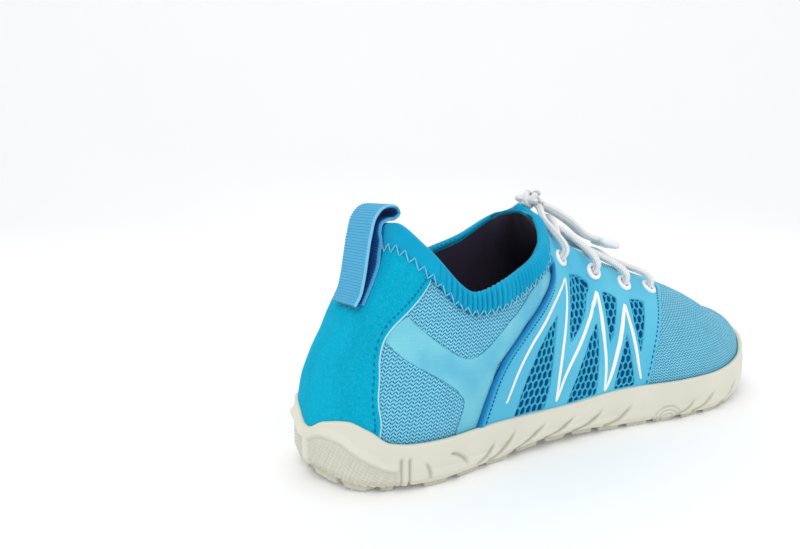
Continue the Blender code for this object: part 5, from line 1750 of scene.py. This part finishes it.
def build_knot():
    """The strands from the top eyelets, and the turns of the knot."""
    knot = np.array(KNOT_PLACE) - BACK
    route = strand(EYELETS[0], EYELETS[0], TOP_RIDGE, 1.0, 0.0, 15)
    route = from_eyelet(EYELETS[0], route[route[:, 0] > 9 * MM])
    up_to = knot + np.array([(5.2, 0.4, -2.6), (1.5, 0.8, -0.6)]) * MM
    route = smooth_route(np.concatenate([route, up_to]), LACE_POINTS)
    for side, facing in FACING.items():
        shape = Shape()
        add_tube(shape, route * facing, LACE_DIAMETER / 2, LACE_SIDES)
        lace_piece(shape, f"lace_top_strand_{side}", f"lace_top_{side}")
    turns = np.linspace(0, 2 * math.pi, 80)[:-3]
    shape = Shape()
    for tilt, wide, deep, tall, phase in KNOT_TURNS:
        x, z = wide * np.cos(turns), tall * np.sin(turns + phase)
        across = x * math.cos(tilt) - z * math.sin(tilt)
        up = x * math.sin(tilt) + z * math.cos(tilt)
        turned = np.stack([across, deep * np.sin(turns), up], 1) * MM
        add_tube(shape, knot + turned, LACE_DIAMETER / 2 * 0.95, 12)
    return lace_piece(shape, "lace_knot_turns", "lace_knot")


def build_laces():
    """Strands through the eyelets and over the instep, the knot, both ends and their clip."""
    build_crossings()
    knotted = build_knot()
    clip = build_clip()
    for name, points in LACE_ENDS.items():
        route = smooth_route(np.array(points) - BACK, 48)
        shape = Shape()
        add_tube(shape, route, LACE_DIAMETER / 2, LACE_SIDES)
        lace_piece(shape, f"{name}_braid", name)


CLIP_COLS = 44
CLIP_SQUARE = 0.32
CLIP_SECTION = (
    # share of the plan, share of the thickness
    (0.0, -0.5),
    (0.75, -0.5),
    (0.93, -0.42),
    (1.0, -0.2),
    (1.0, 0.2),
    (0.93, 0.42),
    (0.75, 0.5),
    (0.62, 0.42),
    (0.0, 0.42),
)


def build_clip():
    """Flat clip that holds both lace ends, with a rounded rim and a raised middle."""
    tilt = math.radians(CLIP_FALL)
    round_plan = np.stack([np.cos(circle(CLIP_COLS)), np.sin(circle(CLIP_COLS))], 1)
    plan = np.sign(round_plan) * np.abs(round_plan) ** CLIP_SQUARE
    rings = []
    for share, height in CLIP_SECTION:
        x, y = plan[:, 0] * share * CLIP_WIDTH / 2, plan[:, 1] * share * CLIP_LENGTH / 2
        z = height * CLIP_THICK
        along, up = y * math.cos(tilt) - z * math.sin(tilt), y * math.sin(tilt) + z * math.cos(tilt)
        rings.append(np.stack([x, along, up], 1) + CLIP_PLACE - BACK)
    shape = Shape()
    shape.add(rings, grid_faces(len(rings), CLIP_COLS, wrap_cols=True))
    return dress(shape.build("lace_end_clip", "print", sharp=50, merge=1e-6), "lace_cord", "lace_clip")


def loop_line():
    """Middle line of the webbing: up the heel inside its sewn leg, over the collar and down its free leg."""
    ups = np.linspace(float(up_at_height(np.array(0.0), 62 * MM)) + 0.02, 0.93, 6)
    lift = np.where(ups > BAND_SEAM[0][1] - 0.06, 1.9 * MM, 1.25 * MM) + LOOP_THICK / 2
    inner = over_skin(np.zeros(6), ups, lift)[:, 1:]
    return np.concatenate([inner, np.array(LOOP_OUTER) - (HEEL_BACK, 0)])


WEBBING_RIB = 1.05 * MM
WEBBING_EDGE = 0.55 * MM
RIB_HEIGHT = 0.11 * MM
LOOP_COUNT = 620
LOOP_ACROSS = 25
LOOP_BEND = 13.0


def build_loop():
    """Grosgrain loop with cross ribs and pale edges, its free foot sewn at the heel."""
    count, across = LOOP_COUNT, LOOP_ACROSS
    route = smooth_route(loop_line(), count)
    way = unit(np.gradient(route, axis=0))
    out = -to_left(way)
    reach = run_lengths(route)[:, None]
    shares = np.linspace(-0.5, 0.5, across)[None]
    from_edge = (0.5 - np.abs(shares)) * LOOP_WIDTH
    edge = 1 - np.clip(from_edge / WEBBING_EDGE, 0, 1)
    half = LOOP_THICK / 2 * np.sqrt(np.clip(1 - edge**2, 0.02, 1))
    ribs = RIB_HEIGHT * np.cos(reach * 2 * math.pi / WEBBING_RIB) * (half > LOOP_THICK / 4)
    bend = LOOP_BEND * (1 - ease(reach, reach[-1] * 0.36, reach[-1] * 0.46))
    x = LOOP_ASIDE + shares * LOOP_WIDTH + np.zeros((count, 1))
    lengths = np.stack(np.broadcast_arrays(shares * LOOP_WIDTH, reach), -1)
    marks = np.broadcast_to(from_edge, x.shape)
    faces = grid_faces(count, across)
    shape = Shape()
    # Outer face with the webbing finish; inner face with its darker copy, which is painted shade.
    for kind, (sign, turned) in enumerate(((1, faces), (-1, faces[:, ::-1]))):
        height = sign * (half + ribs)
        y = route[:, 0:1] + out[:, 0:1] * height + bend * x**2
        z = route[:, 1:2] + out[:, 1:2] * height
        shape.add(np.stack([x, y, z], -1), turned, lengths, marks, kind)
    rows, cols = np.arange(count) * across, np.arange(across)
    total = count * across
    for line in (rows, rows[::-1] + across - 1, cols[::-1], total - across + cols):
        one, other = line[:-1], line[1:]
        shape.add_faces(np.stack([one, other, other + total, one + total], 1))
    return dress(shape.build("pull_loop_webbing", "webbing", "webbing_inside"), "loop_webbing", "pull_loop")


# Grooves in the sole's side: start and end as (round, share of the height); bow, width and depth in mm
SIDE_GROOVES = (
    # round, share, round, share, bow, width, depth
    (0.083, 0.10, 0.078, 0.62, 1.0, 0.55, 0.55),
    (0.098, 0.62, 0.112, 0.05, -1.6, 0.60, 0.60),
    (0.120, 0.05, 0.134, 0.62, 1.8, 0.65, 0.65),
    (0.131, 0.03, 0.152, 0.80, 2.4, 0.70, 0.70),
    (0.152, 0.02, 0.179, 0.76, 2.4, 0.70, 0.70),
    (0.178, 0.02, 0.205, 0.74, 2.4, 0.70, 0.70),
    (0.204, 0.02, 0.232, 0.72, 2.4, 0.70, 0.70),
    (0.233, 0.02, 0.259, 0.66, 2.2, 0.70, 0.70),
    (0.300, 0.03, 0.318, 0.50, 1.6, 0.60, 0.60),
    (0.316, 0.02, 0.342, 0.62, 2.2, 0.70, 0.65),
    (0.352, 0.02, 0.380, 0.56, 2.2, 0.65, 0.60),
    (0.398, 0.02, 0.426, 0.46, 2.0, 0.60, 0.55),
    (0.448, 0.02, 0.474, 0.32, 1.6, 0.55, 0.50),
)
SIDE_TALL = 0.0195
BROW = ((0.0, 0.74), (0.012, 0.80), (0.026, 0.73), (0.040, 0.58), (0.052, 0.49), (0.063, 0.44))
RING_MIDDLE = (0.289, -0.10)
GROOVES = (0.0652, 0.0700)
GROOVE_TOP = 0.0140
SOLE_RIBS = 40
PADS = (
    # middle aside and along from the heel's back, radius
    (0.0, 0.038, 0.0235),
    (0.0155, 0.150, 0.0160),
    (-0.0165, 0.1675, 0.0172),
)
RING_INNER = 0.62
RING_OPEN = 0.0030
TREAD_RIM = 0.0012
LUG_BANDS = ((0.0, 6.8), (0.07, 6.6), (0.16, 9.5), (0.28, 8.5), (0.42, 11.5), (0.5, 13.0))


SIDE_ARCS = (4.2, 6.4, 8.6)


def side_groove(x, y, groove):
    """Depth in mm of one slanted groove, which has a sharp side and a soft one."""
    start, low, end, high, bow, width, depth = groove
    a = np.array([start * FLAT[0], low * SIDE_TALL]) / MM
    b = np.array([end * FLAT[0], high * SIDE_TALL]) / MM
    span = np.linalg.norm(b - a)
    way = (b - a) / span
    along = ((x - a[0]) * way[0] + (y - a[1]) * way[1]) / span
    across = -(x - a[0]) * way[1] + (y - a[1]) * way[0]
    across = across + bow * 4 * along * (1 - along)
    fade = rise_and_fall(along, -0.12, 0.06, 0.55, 1.05)
    step = hump(across, 1.5 * width) + 0.5 * rise_and_fall(across, -width, 0, 0, 4.4)
    return 1.35 * depth * fade * step


def side_relief(round_, share):
    """How far the sole's side stands in or out, and how deep it lies in its relief, which its finish paints as
    shade.
    """
    at, _ = half_round(round_)
    x, y = at * FLAT[0] / MM, share * SIDE_TALL / MM
    cut = np.zeros(at.shape)
    for groove in SIDE_GROOVES:
        cut = np.maximum(cut, side_groove(x, y, groove))
    away = np.hypot(x - RING_MIDDLE[0] * FLAT[0] / MM, y - RING_MIDDLE[1] * SIDE_TALL / MM)
    for radius in SIDE_ARCS:
        cut = np.maximum(cut, 0.7 * hump(away - radius, 0.5) * (1 - ease(y, 6.5, 9.0)))
    places, heights = columns(BROW)
    below = smooth_table(places, heights, at) * SIDE_TALL / MM - y
    in_pad = (1 - ease(at, 0.0625, 0.0645)) * ease(at, 0.0015, 0.004)
    lip = 1.15 * hump(below + 0.9, 1.3) * in_pad
    pad = in_pad * ease(below, 0.2, 1.5) * (0.95 + 0.15 * ease(below, 2, 5))
    cells = np.sin(x * 2 * math.pi / 2.3 + y * 1.3) * np.sin(y * 2 * math.pi / 2.0 - x * 0.9)
    pebble = 0.42 * ease(cells, -0.2, 0.5) * pad * (1 - ease(at, 0.056, 0.062)) * ease(below, 1.2, 2.4)
    shade = np.clip(cut / 1.1, 0, 1) + 0.5 * pad - 1.2 * pebble
    for groove in GROOVES:
        line = hump((at - groove) * FLAT[0], 0.55 * MM)
        line = line * (1 - ease(y, GROOVE_TOP / MM - 1.5, GROOVE_TOP / MM + 1.0))
        cut = np.maximum(cut, 1.25 * line)
        shade = np.maximum(shade, line)
    level = 0.35 * rise_and_fall(y, 5.5, 6.3, 6.3, 9.5) * rise_and_fall(at, 0.075, 0.09, 0.40, 0.44)
    return (lip - pad + pebble - cut - 0.5 * level) * MM, np.clip(shade, 0, 1)


def disc_step(distance, radius):
    """1 inside a radius and 0 outside it, in mm."""
    return 1 - ease(distance, radius - 0.25, radius + 0.25)


def lines(value, pitch, sharpness):
    """Fine raised lines, 1 on each line, at a pitch of the value."""
    return (0.5 + 0.5 * np.cos(value * 2 * math.pi / pitch)) ** sharpness


ROSETTES = ((-6.0, 78.0), (-8.5, 96.0), (-6.5, 114.0))
STAR_PITCH = 5.2
LUG_SLANT = 0.008


def pad_relief(x, y, pad):
    """Relief of a round pad of the tread, and how much of the ground round it stays."""
    aside, along, radius = pad
    away = np.hypot(x - aside / MM, y - along / MM)
    reach = radius / MM
    inner = reach * RING_INNER
    ring = disc_step(away, reach) * (1 - disc_step(away, inner))
    disc = disc_step(away, inner - RING_OPEN / MM)
    swirl = 0.10 * (0.5 + 0.5 * np.cos(away * 2 * math.pi / 1.9 + 1.2 * np.sin(y / 2.4))) ** 4
    slot = hump(np.abs(np.abs(x - aside / MM) - 1.6), 0.5) * disc_step(away, inner * 0.52)
    relief = ring * (1 - 0.16 * lines(away, 2.35, 6)) + disc * (1 - swirl) * (1 - 0.35 * slot)
    return relief, 1 - disc_step(away, reach + 1.6), 1 - disc_step(away, reach + 1.9)


def lug_relief(edge, at):
    """Relief of the lugs along the tread's edge, and the width of their band."""
    places, bands = columns(LUG_BANDS)
    half, side = half_round(at)
    band = smooth_table(places, bands, half)
    slant = LUG_SLANT * side * (1 - ease(half, FAN_START - 0.04, 0.475))
    across = np.clip((edge - 1.9) / np.maximum(band - 1.9, 0.1), 0, 1)
    turn = np.mod((at - slant * across) * SOLE_RIBS, 1.0)
    lug = rise_and_fall(turn, 0.12, 0.18, 0.82, 0.88)
    lug = lug * ease(edge, 1.5, 2.2) * (1 - ease(edge, band - 0.4, band + 0.4))
    groove_gap = (half < max(GROOVES) + 0.002) & (half > min(GROOVES) - 0.004)
    return np.where(groove_gap, 0, lug) * (1 - 0.12 * lines(edge, 2.6, 8)), band


def tread_relief(x, y, edge, at):
    """How far the tread stands down from its base at places in mm, as a share of the lugs' depth."""
    down = np.zeros(x.shape)
    clear = np.ones(x.shape)
    for pad in PADS:
        relief, kept, ground = pad_relief(x, y, pad)
        down = np.maximum(down * kept, relief)
        clear *= ground
    lug, band = lug_relief(edge, at)
    down = np.maximum(down, lug * clear)
    rest = clear * ease(edge, band + 0.8, band + 1.6)
    window = rise_and_fall(y, 66, 68, 130, 132) * rest
    star = np.cos(x * 2 * math.pi / STAR_PITCH) * np.cos(y * 2 * math.pi / STAR_PITCH)
    star = star + 0.35 * np.cos((x + y) * 2 * math.pi / STAR_PITCH)
    down = np.maximum(down, 0.75 * ease(star, 0.45, 0.62) * ease(x, 1, 3) * window)
    down = np.maximum(down, 0.30 * lines(y + 2.2 * np.sin(x / 3.2), 4.0, 3) * (1 - ease(x, 0, 2)) * window)
    for aside, along in ROSETTES:
        dx, dy = x - aside, y - along
        away = np.hypot(dx, dy)
        petals = 3.6 + 0.55 * np.cos(8 * np.arctan2(dy, dx))
        rose = disc_step(away, petals) * (1 - disc_step(away, 1.5)) * 0.7 + disc_step(away, 0.9) * 0.7
        down = np.where(away < 4.8, rose * window, down)
    front = ease(y, 186, 190) * rest
    chevron = np.cos((y - 0.35 * np.abs(x + 6)) * 2 * math.pi / 7.5)
    down = np.maximum(down, 0.8 * ease(chevron, -0.1, 0.2) * front)
    between = rest * (1 - window) * (1 - front) * lines(y + 0.5 * x, 3.4, 4)
    return np.clip(np.maximum(down, 0.22 * between), 0, 1)


SOLE_COLS = 1100
FLOOR_ACROSS = 9
LIP_FLAT = 0.75


def build_outsole():
    """Moulded cup sole: rim, wall against the upper, sculpted side and tread."""
    cols = SOLE_COLS
    places = np.arange(cols) / cols
    plan, out = outline(places)
    out3 = np.column_stack([out, np.zeros(cols)])
    rim = cup_top(places)
    floor = cup_floor(plan[:, 1])
    base = tread_height(plan[:, 1]) + LUG_DEPTH
    wide = CUP_RIM / 2
    middle = off_skin(places, up_at_height(places, rim), 0.35 * MM) + out3 * wide
    middle[:, 2] = rim - wide * LIP_FLAT
    lip = []
    for angle in np.linspace(0, math.pi, 13):
        lip.append(middle - out3 * math.cos(angle) * wide + UPRIGHT * math.sin(angle) * wide * LIP_FLAT)
    inner = []
    for share in (0.0, 0.25, 0.5, 0.75):
        inner.append(off_skin(places, up_at_height(places, floor + (rim - floor) * share), 0.45 * MM))
    side_rows, side_marks = [], []
    for share in (0.97, 0.94, *np.linspace(0.90, 0.06, 44), 0.03, 0.0):
        blend = ease(1 - share, 0.0, 0.42)[()]
        root = 1 - ease(share, 0.0, 0.16)
        foot = plan - out * TREAD_RIM * root - BACK[:2]
        flat = lip[-1][:, :2] * (1 - blend) + foot * blend
        place = np.column_stack([flat, base + (lip[-1][:, 2] - base) * share])
        push, shade = side_relief(places, np.full(cols, share))
        fade = ease(1 - share, 0.02, 0.12)
        side_rows.append(place + out3 * (push * fade)[:, None])
        side_marks.append(shade * fade)
    rows = np.array([*inner, *lip, *side_rows])
    marks = np.concatenate([np.zeros((len(inner) + len(lip), cols)), side_marks])
    lengths = np.stack(np.broadcast_arrays(places * FLAT[0], run_lengths(rows)), -1)
    shape = Shape()
    shape.add(rows, grid_faces(len(rows), cols, wrap_cols=True), lengths, marks)
    across = across_ring(inner[0], FLOOR_ACROSS)
    across[..., 2] = cup_floor(across[..., 1] + HEEL_BACK)
    shape.add(across, grid_faces(len(across), FLOOR_ACROSS))
    dress(shape.build("outsole_side_moulded", "rubber", merge=WELD), "sole_rubber", "outsole")
    build_tread(side_rows[-1])


TREAD_STEP = 0.66 * MM


def build_tread(edge_ring):
    """Underside as one relief between the sole's side and its pads, lugs and waves."""
    edge_ring = edge_ring[::2]
    ring = edge_ring[:, :2] + BACK[:2]
    grid = triangle_grid(ring.min(0), ring.max(0), TREAD_STEP)
    grid = grid[inside(grid, ring)]
    nearest, found = nearest_on_line(grid, ring, np.roll(ring, -1, 0))
    clear = nearest > TREAD_STEP / 2
    flat, faces = joined_up(np.concatenate([ring, grid[clear]]), [ring], 1e-8)
    faces = faces[inside(flat[faces].mean(1), ring)]
    away = np.concatenate([np.zeros(len(ring)), nearest[clear]])[: len(flat)]
    turn = np.concatenate([np.arange(len(ring)), found[clear]])[: len(flat)] / len(ring)
    down = tread_relief(flat[:, 0] / MM, flat[:, 1] / MM, (away + TREAD_RIM) / MM, turn)
    height = tread_height(flat[:, 1]) + LUG_DEPTH * (1 - down)
    height[: len(ring)] = edge_ring[:, 2]
    shape = Shape()
    # The mark, highest where the tread lies deepest, becomes painted shade in the rubber's finish.
    shape.add(np.column_stack([flat[:, 0], flat[:, 1] - HEEL_BACK, height]), faces[:, ::-1], flat, 1 - down)
    made = shape.build("outsole_tread_moulded", "rubber", turned=False)
    if sum(face.normal.z * face.area for face in made.data.polygons) > 0:
        made.data.flip_normals()
    dress(made, "sole_rubber")


CAMERA_PLACE = (0.1992, -0.1379, 0.1046)
CAMERA_TARGET = (0.0, 0.00425, 0.07043)
CAMERA_LENS = 29.25
AIR_STRENGTH = 0.92
LAMPS = (
    # name, place, size, power, colour
    ("key_softbox", (0.45, -0.60, 1.05), 0.7, 3.4, (1.0, 0.99, 0.97)),
    ("fill_softbox", (1.05, 0.55, 0.65), 1.1, 0.8, (0.97, 0.99, 1.0)),
    ("rear_softbox", (-0.75, 0.75, 0.85), 1.0, 1.6, (1.0, 1.0, 1.0)),
)


LAMPS_AT = (0.0, 0.03, 0.05)
SWEEP_RADIUS = 0.6
SWEEP_BACK = 1.2
SWEEP_FRONT = -2.2
SWEEP_HALF = 2.6
SWEEP_TOP = 2.4
SWEEP_TURN = 54.5
SWEEP_COLS = 24


def place_in_scene(name, data, place, target):
    """A lamp or camera at a place, turned to a target."""
    made = bpy.data.objects.new(name, data)
    made.location = place
    made.rotation_euler = (Vector(target) - Vector(place)).to_track_quat("-Z", "Y").to_euler()
    bpy.context.scene.collection.objects.link(made)
    return made


def build_sweep():
    """Pale floor that curves up into the backdrop."""
    radius = SWEEP_RADIUS
    back = [(y, 0.0) for y in np.linspace(SWEEP_FRONT, SWEEP_BACK, SWEEP_COLS)]
    for angle in np.linspace(0.1, math.pi / 2, 14):
        back.append((SWEEP_BACK + radius * math.sin(angle), radius - radius * math.cos(angle)))
    back += [(SWEEP_BACK + radius, z) for z in np.linspace(radius + 0.1, SWEEP_TOP, 6)]
    turn = math.radians(SWEEP_TURN)
    points = []
    for ahead, z in back:
        for x in np.linspace(-SWEEP_HALF, SWEEP_HALF, SWEEP_COLS):
            across = x * math.cos(turn) - ahead * math.sin(turn)
            points.append((across, x * math.sin(turn) + ahead * math.cos(turn), z))
    shape = Shape()
    shape.add(points, grid_faces(len(back), SWEEP_COLS))
    shape.build("studio_sweep", "floor", turned=False)


def build_stage():
    """Floor, soft lights and the photo's camera."""
    build_sweep()
    for name, place, size, power, colour in LAMPS:
        lamp = bpy.data.lights.new(name, "AREA")
        lamp.energy, lamp.size, lamp.color = power, size, colour
        place_in_scene(name, lamp, place, LAMPS_AT)
    scene = bpy.context.scene
    scene.world = bpy.data.worlds.new("studio_air")
    scene.world.use_nodes = True
    air = scene.world.node_tree.nodes["Background"].inputs
    air["Color"].default_value = (1.0, 1.0, 1.0, 1.0)
    air["Strength"].default_value = AIR_STRENGTH
    lens = bpy.data.cameras.new("photo_camera")
    lens.lens, lens.sensor_width = CAMERA_LENS, 36.0
    lens.clip_start, lens.clip_end = 0.01, 20.0
    scene.camera = place_in_scene("photo_camera", lens, CAMERA_PLACE, CAMERA_TARGET)
    scene.view_settings.view_transform = "Standard"


def colour_property(name, description, code):
    return bpy.props.FloatVectorProperty(
        name=name, description=description, subtype="COLOR", size=3, min=0.0, max=1.0, default=rgb(code)
    )


def length_property(name, description, default):
    return bpy.props.FloatProperty(name=name, description=description, default=default, unit="LENGTH")


class ShoeSizes(bpy.types.PropertyGroup):
    """Sizes of the fine detail."""

    knit_period: length_property("Knit period", "Length of one zigzag of the knit", 2.3 * MM)
    knit_row: length_property("Knit row", "Height of one row of the knit", 1.3 * MM)
    web_pitch: length_property("Web pitch", "Width of one cell of the window web", 2.95 * MM)
    web_row: length_property("Web row", "Height from one row of cells to the next", 3.15 * MM)
    web_strand: length_property("Web strand", "Width of the web between two holes", 0.62 * MM)


class ShoeColours(bpy.types.PropertyGroup):
    """Colours of the shoe's finishes."""

    knit: colour_property("Knit", "Light blue knit", "79CEE6")
    knit_hole: colour_property("Knit holes", "Dark gaps of the knit's zigzag", "1F6AA8")
    lining: colour_property("Lining", "Dark lining inside", "2D1B45")
    suede: colour_property("Suede", "Heel panel", "00A9CC")
    suede_nap: colour_property("Suede nap", "Raised fibres of the heel panel", "38C0E6")
    # Pale front edge of the suede: partly its cut edge, partly a painted highlight.
    cut_edge_and_highlight: colour_property("Cut edge", "Pale cut edge of the heel panel", "BDE8F4")
    collar: colour_property("Collar", "Stretch band", "00B0DE")
    film: colour_property("Film", "Pale film behind the saddle", "76CADA")
    film_deep: colour_property("Film shade", "Deeper tone of the pale film", "5EB8D6")
    saddle: colour_property("Saddle", "Side panel", "4AB5D8")
    saddle_light: colour_property("Saddle light", "Lighter tone of the side panel", "57BFDC")
    bead: colour_property("Bead", "Raised rear bead of the side panel", "04A4D4")
    # Painted shadow at the rear foot of the bead.
    bead_rear_shadow: colour_property("Bead shade", "Rear foot of the bead", "0068A6")
    web: colour_property("Web", "Honeycomb web", "44C4EA")
    # Cloth behind the web: partly its own colour, partly painted shade in the holes.
    web_hole_shade: colour_property("Web holes", "Cloth behind the web", "0A5F96")
    white: colour_property("White print", "Raised line, eyelets and clip", "F4F6F7")
    lace: colour_property("Lace", "Braided lace", "F1F3F4")
    dark_thread: colour_property("Dark thread", "Stitches on the suede, saddle and seam", "0B6FA6")
    pale_thread: colour_property("Pale thread", "Zigzag stitches on the collar", "7FD0EC")
    webbing: colour_property("Webbing", "Outer face of the pull loop", "4FB2DE")
    webbing_edge: colour_property("Webbing edge", "Woven edges of the pull loop", "86CBEA")
    # Darker copy of the webbing colour: painted shade on the loop's inner face.
    webbing_inside: colour_property("Webbing inside", "Inner face of the pull loop", "1460AC")
    rubber: colour_property("Rubber", "Sole", "DBDACB")
    # Painted shade in the sole's deep relief.
    rubber_relief_shade: colour_property("Rubber shade", "Sole in its deep relief", "BDBBA8")
    insole: colour_property("Insole", "Cover of the footbed", "33254A")
    floor: colour_property("Floor", "Studio floor", "F4F5F6")


class ShoeStep:
    """What every step of the build shares."""

    bl_options = {"REGISTER", "UNDO"}

    def run(self, context, build):
        if not FINISHES:
            make_finishes(context.scene.shoe_colours, context.scene.shoe_sizes)
        build()
        return {"FINISHED"}


class SHOE_OT_stage(ShoeStep, bpy.types.Operator):
    """Adds the floor, the lights and the camera"""

    bl_idname = "shoe.stage"
    bl_label = "Stage"

    def execute(self, context):
        return self.run(context, build_stage)


class SHOE_OT_upper(ShoeStep, bpy.types.Operator):
    """Adds the knitted bootie with its lining"""

    bl_idname = "shoe.upper"
    bl_label = "Upper"

    def execute(self, context):
        return self.run(context, build_upper)


class SHOE_OT_insole(ShoeStep, bpy.types.Operator):
    """Adds the footbed"""

    bl_idname = "shoe.insole"
    bl_label = "Insole"

    def execute(self, context):
        return self.run(context, build_insole)


class SHOE_OT_outsole(ShoeStep, bpy.types.Operator):
    """Adds the moulded sole and its tread"""

    bl_idname = "shoe.outsole"
    bl_label = "Outsole"

    def execute(self, context):
        return self.run(context, build_outsole)


class SHOE_OT_counter(ShoeStep, bpy.types.Operator):
    """Adds the suede heel panel and its stitches"""

    bl_idname = "shoe.counter"
    bl_label = "Heel panel"

    def execute(self, context):
        return self.run(context, build_counter)


class SHOE_OT_collar(ShoeStep, bpy.types.Operator):
    """Adds the stretch band round the opening"""

    bl_idname = "shoe.collar"
    bl_label = "Collar band"

    def execute(self, context):
        return self.run(context, build_collar)


class SHOE_OT_films(ShoeStep, bpy.types.Operator):
    """Adds the pale films behind the side panels"""

    bl_idname = "shoe.films"
    bl_label = "Pale films"

    def execute(self, context):
        return self.run(context, build_films)


class SHOE_OT_saddles(ShoeStep, bpy.types.Operator):
    """Adds the side panels with their beads and stitches"""

    bl_idname = "shoe.saddles"
    bl_label = "Side panels"

    def execute(self, context):
        return self.run(context, build_saddles)


class SHOE_OT_windows(ShoeStep, bpy.types.Operator):
    """Adds the honeycomb webs and their backing"""

    bl_idname = "shoe.windows"
    bl_label = "Window webs"

    def execute(self, context):
        return self.run(context, build_windows)


class SHOE_OT_zigzags(ShoeStep, bpy.types.Operator):
    """Adds the raised white lines"""

    bl_idname = "shoe.zigzags"
    bl_label = "Zigzag lines"

    def execute(self, context):
        return self.run(context, build_zigzags)


class SHOE_OT_eyelets(ShoeStep, bpy.types.Operator):
    """Adds the eyelet rings"""

    bl_idname = "shoe.eyelets"
    bl_label = "Eyelets"

    def execute(self, context):
        return self.run(context, build_eyelets)


class SHOE_OT_laces(ShoeStep, bpy.types.Operator):
    """Adds the lace, its knot, ends and clip"""

    bl_idname = "shoe.laces"
    bl_label = "Laces"

    def execute(self, context):
        return self.run(context, build_laces)


class SHOE_OT_loop(ShoeStep, bpy.types.Operator):
    """Adds the webbing loop at the heel"""

    bl_idname = "shoe.loop"
    bl_label = "Pull loop"

    def execute(self, context):
        return self.run(context, build_loop)


STEPS = (
    SHOE_OT_stage,
    SHOE_OT_upper,
    SHOE_OT_insole,
    SHOE_OT_outsole,
    SHOE_OT_counter,
    SHOE_OT_collar,
    SHOE_OT_films,
    SHOE_OT_saddles,
    SHOE_OT_windows,
    SHOE_OT_zigzags,
    SHOE_OT_eyelets,
    SHOE_OT_laces,
    SHOE_OT_loop,
)


class SHOE_PT_panel(bpy.types.Panel):
    """Sidebar panel with the shoe's steps, sizes and colours"""

    bl_idname = "SHOE_PT_panel"
    bl_label = "Water Shoe"
    bl_space_type = "VIEW_3D"
    bl_region_type = "UI"
    bl_category = "Water Shoe"

    def draw(self, context):
        for step in STEPS:
            self.layout.operator(step.bl_idname)
        for group in (context.scene.shoe_sizes, context.scene.shoe_colours):
            box = self.layout.box()
            for key in group.__annotations__:
                box.prop(group, key)


CLASSES = (ShoeSizes, ShoeColours, *STEPS, SHOE_PT_panel)


def register():
    for cls in CLASSES:
        bpy.utils.register_class(cls)
    bpy.types.Scene.shoe_sizes = bpy.props.PointerProperty(type=ShoeSizes)
    bpy.types.Scene.shoe_colours = bpy.props.PointerProperty(type=ShoeColours)


def unregister():
    del bpy.types.Scene.shoe_sizes
    del bpy.types.Scene.shoe_colours
    for cls in reversed(CLASSES):
        bpy.utils.unregister_class(cls)


def main():
    register()
    bpy.ops.shoe.stage()
    bpy.ops.shoe.upper()
    bpy.ops.shoe.insole()
    bpy.ops.shoe.outsole()
    bpy.ops.shoe.counter()
    bpy.ops.shoe.collar()
    bpy.ops.shoe.films()
    bpy.ops.shoe.saddles()
    bpy.ops.shoe.windows()
    bpy.ops.shoe.zigzags()
    bpy.ops.shoe.eyelets()
    bpy.ops.shoe.laces()
    bpy.ops.shoe.loop()


if __name__ == "__main__":
    main()
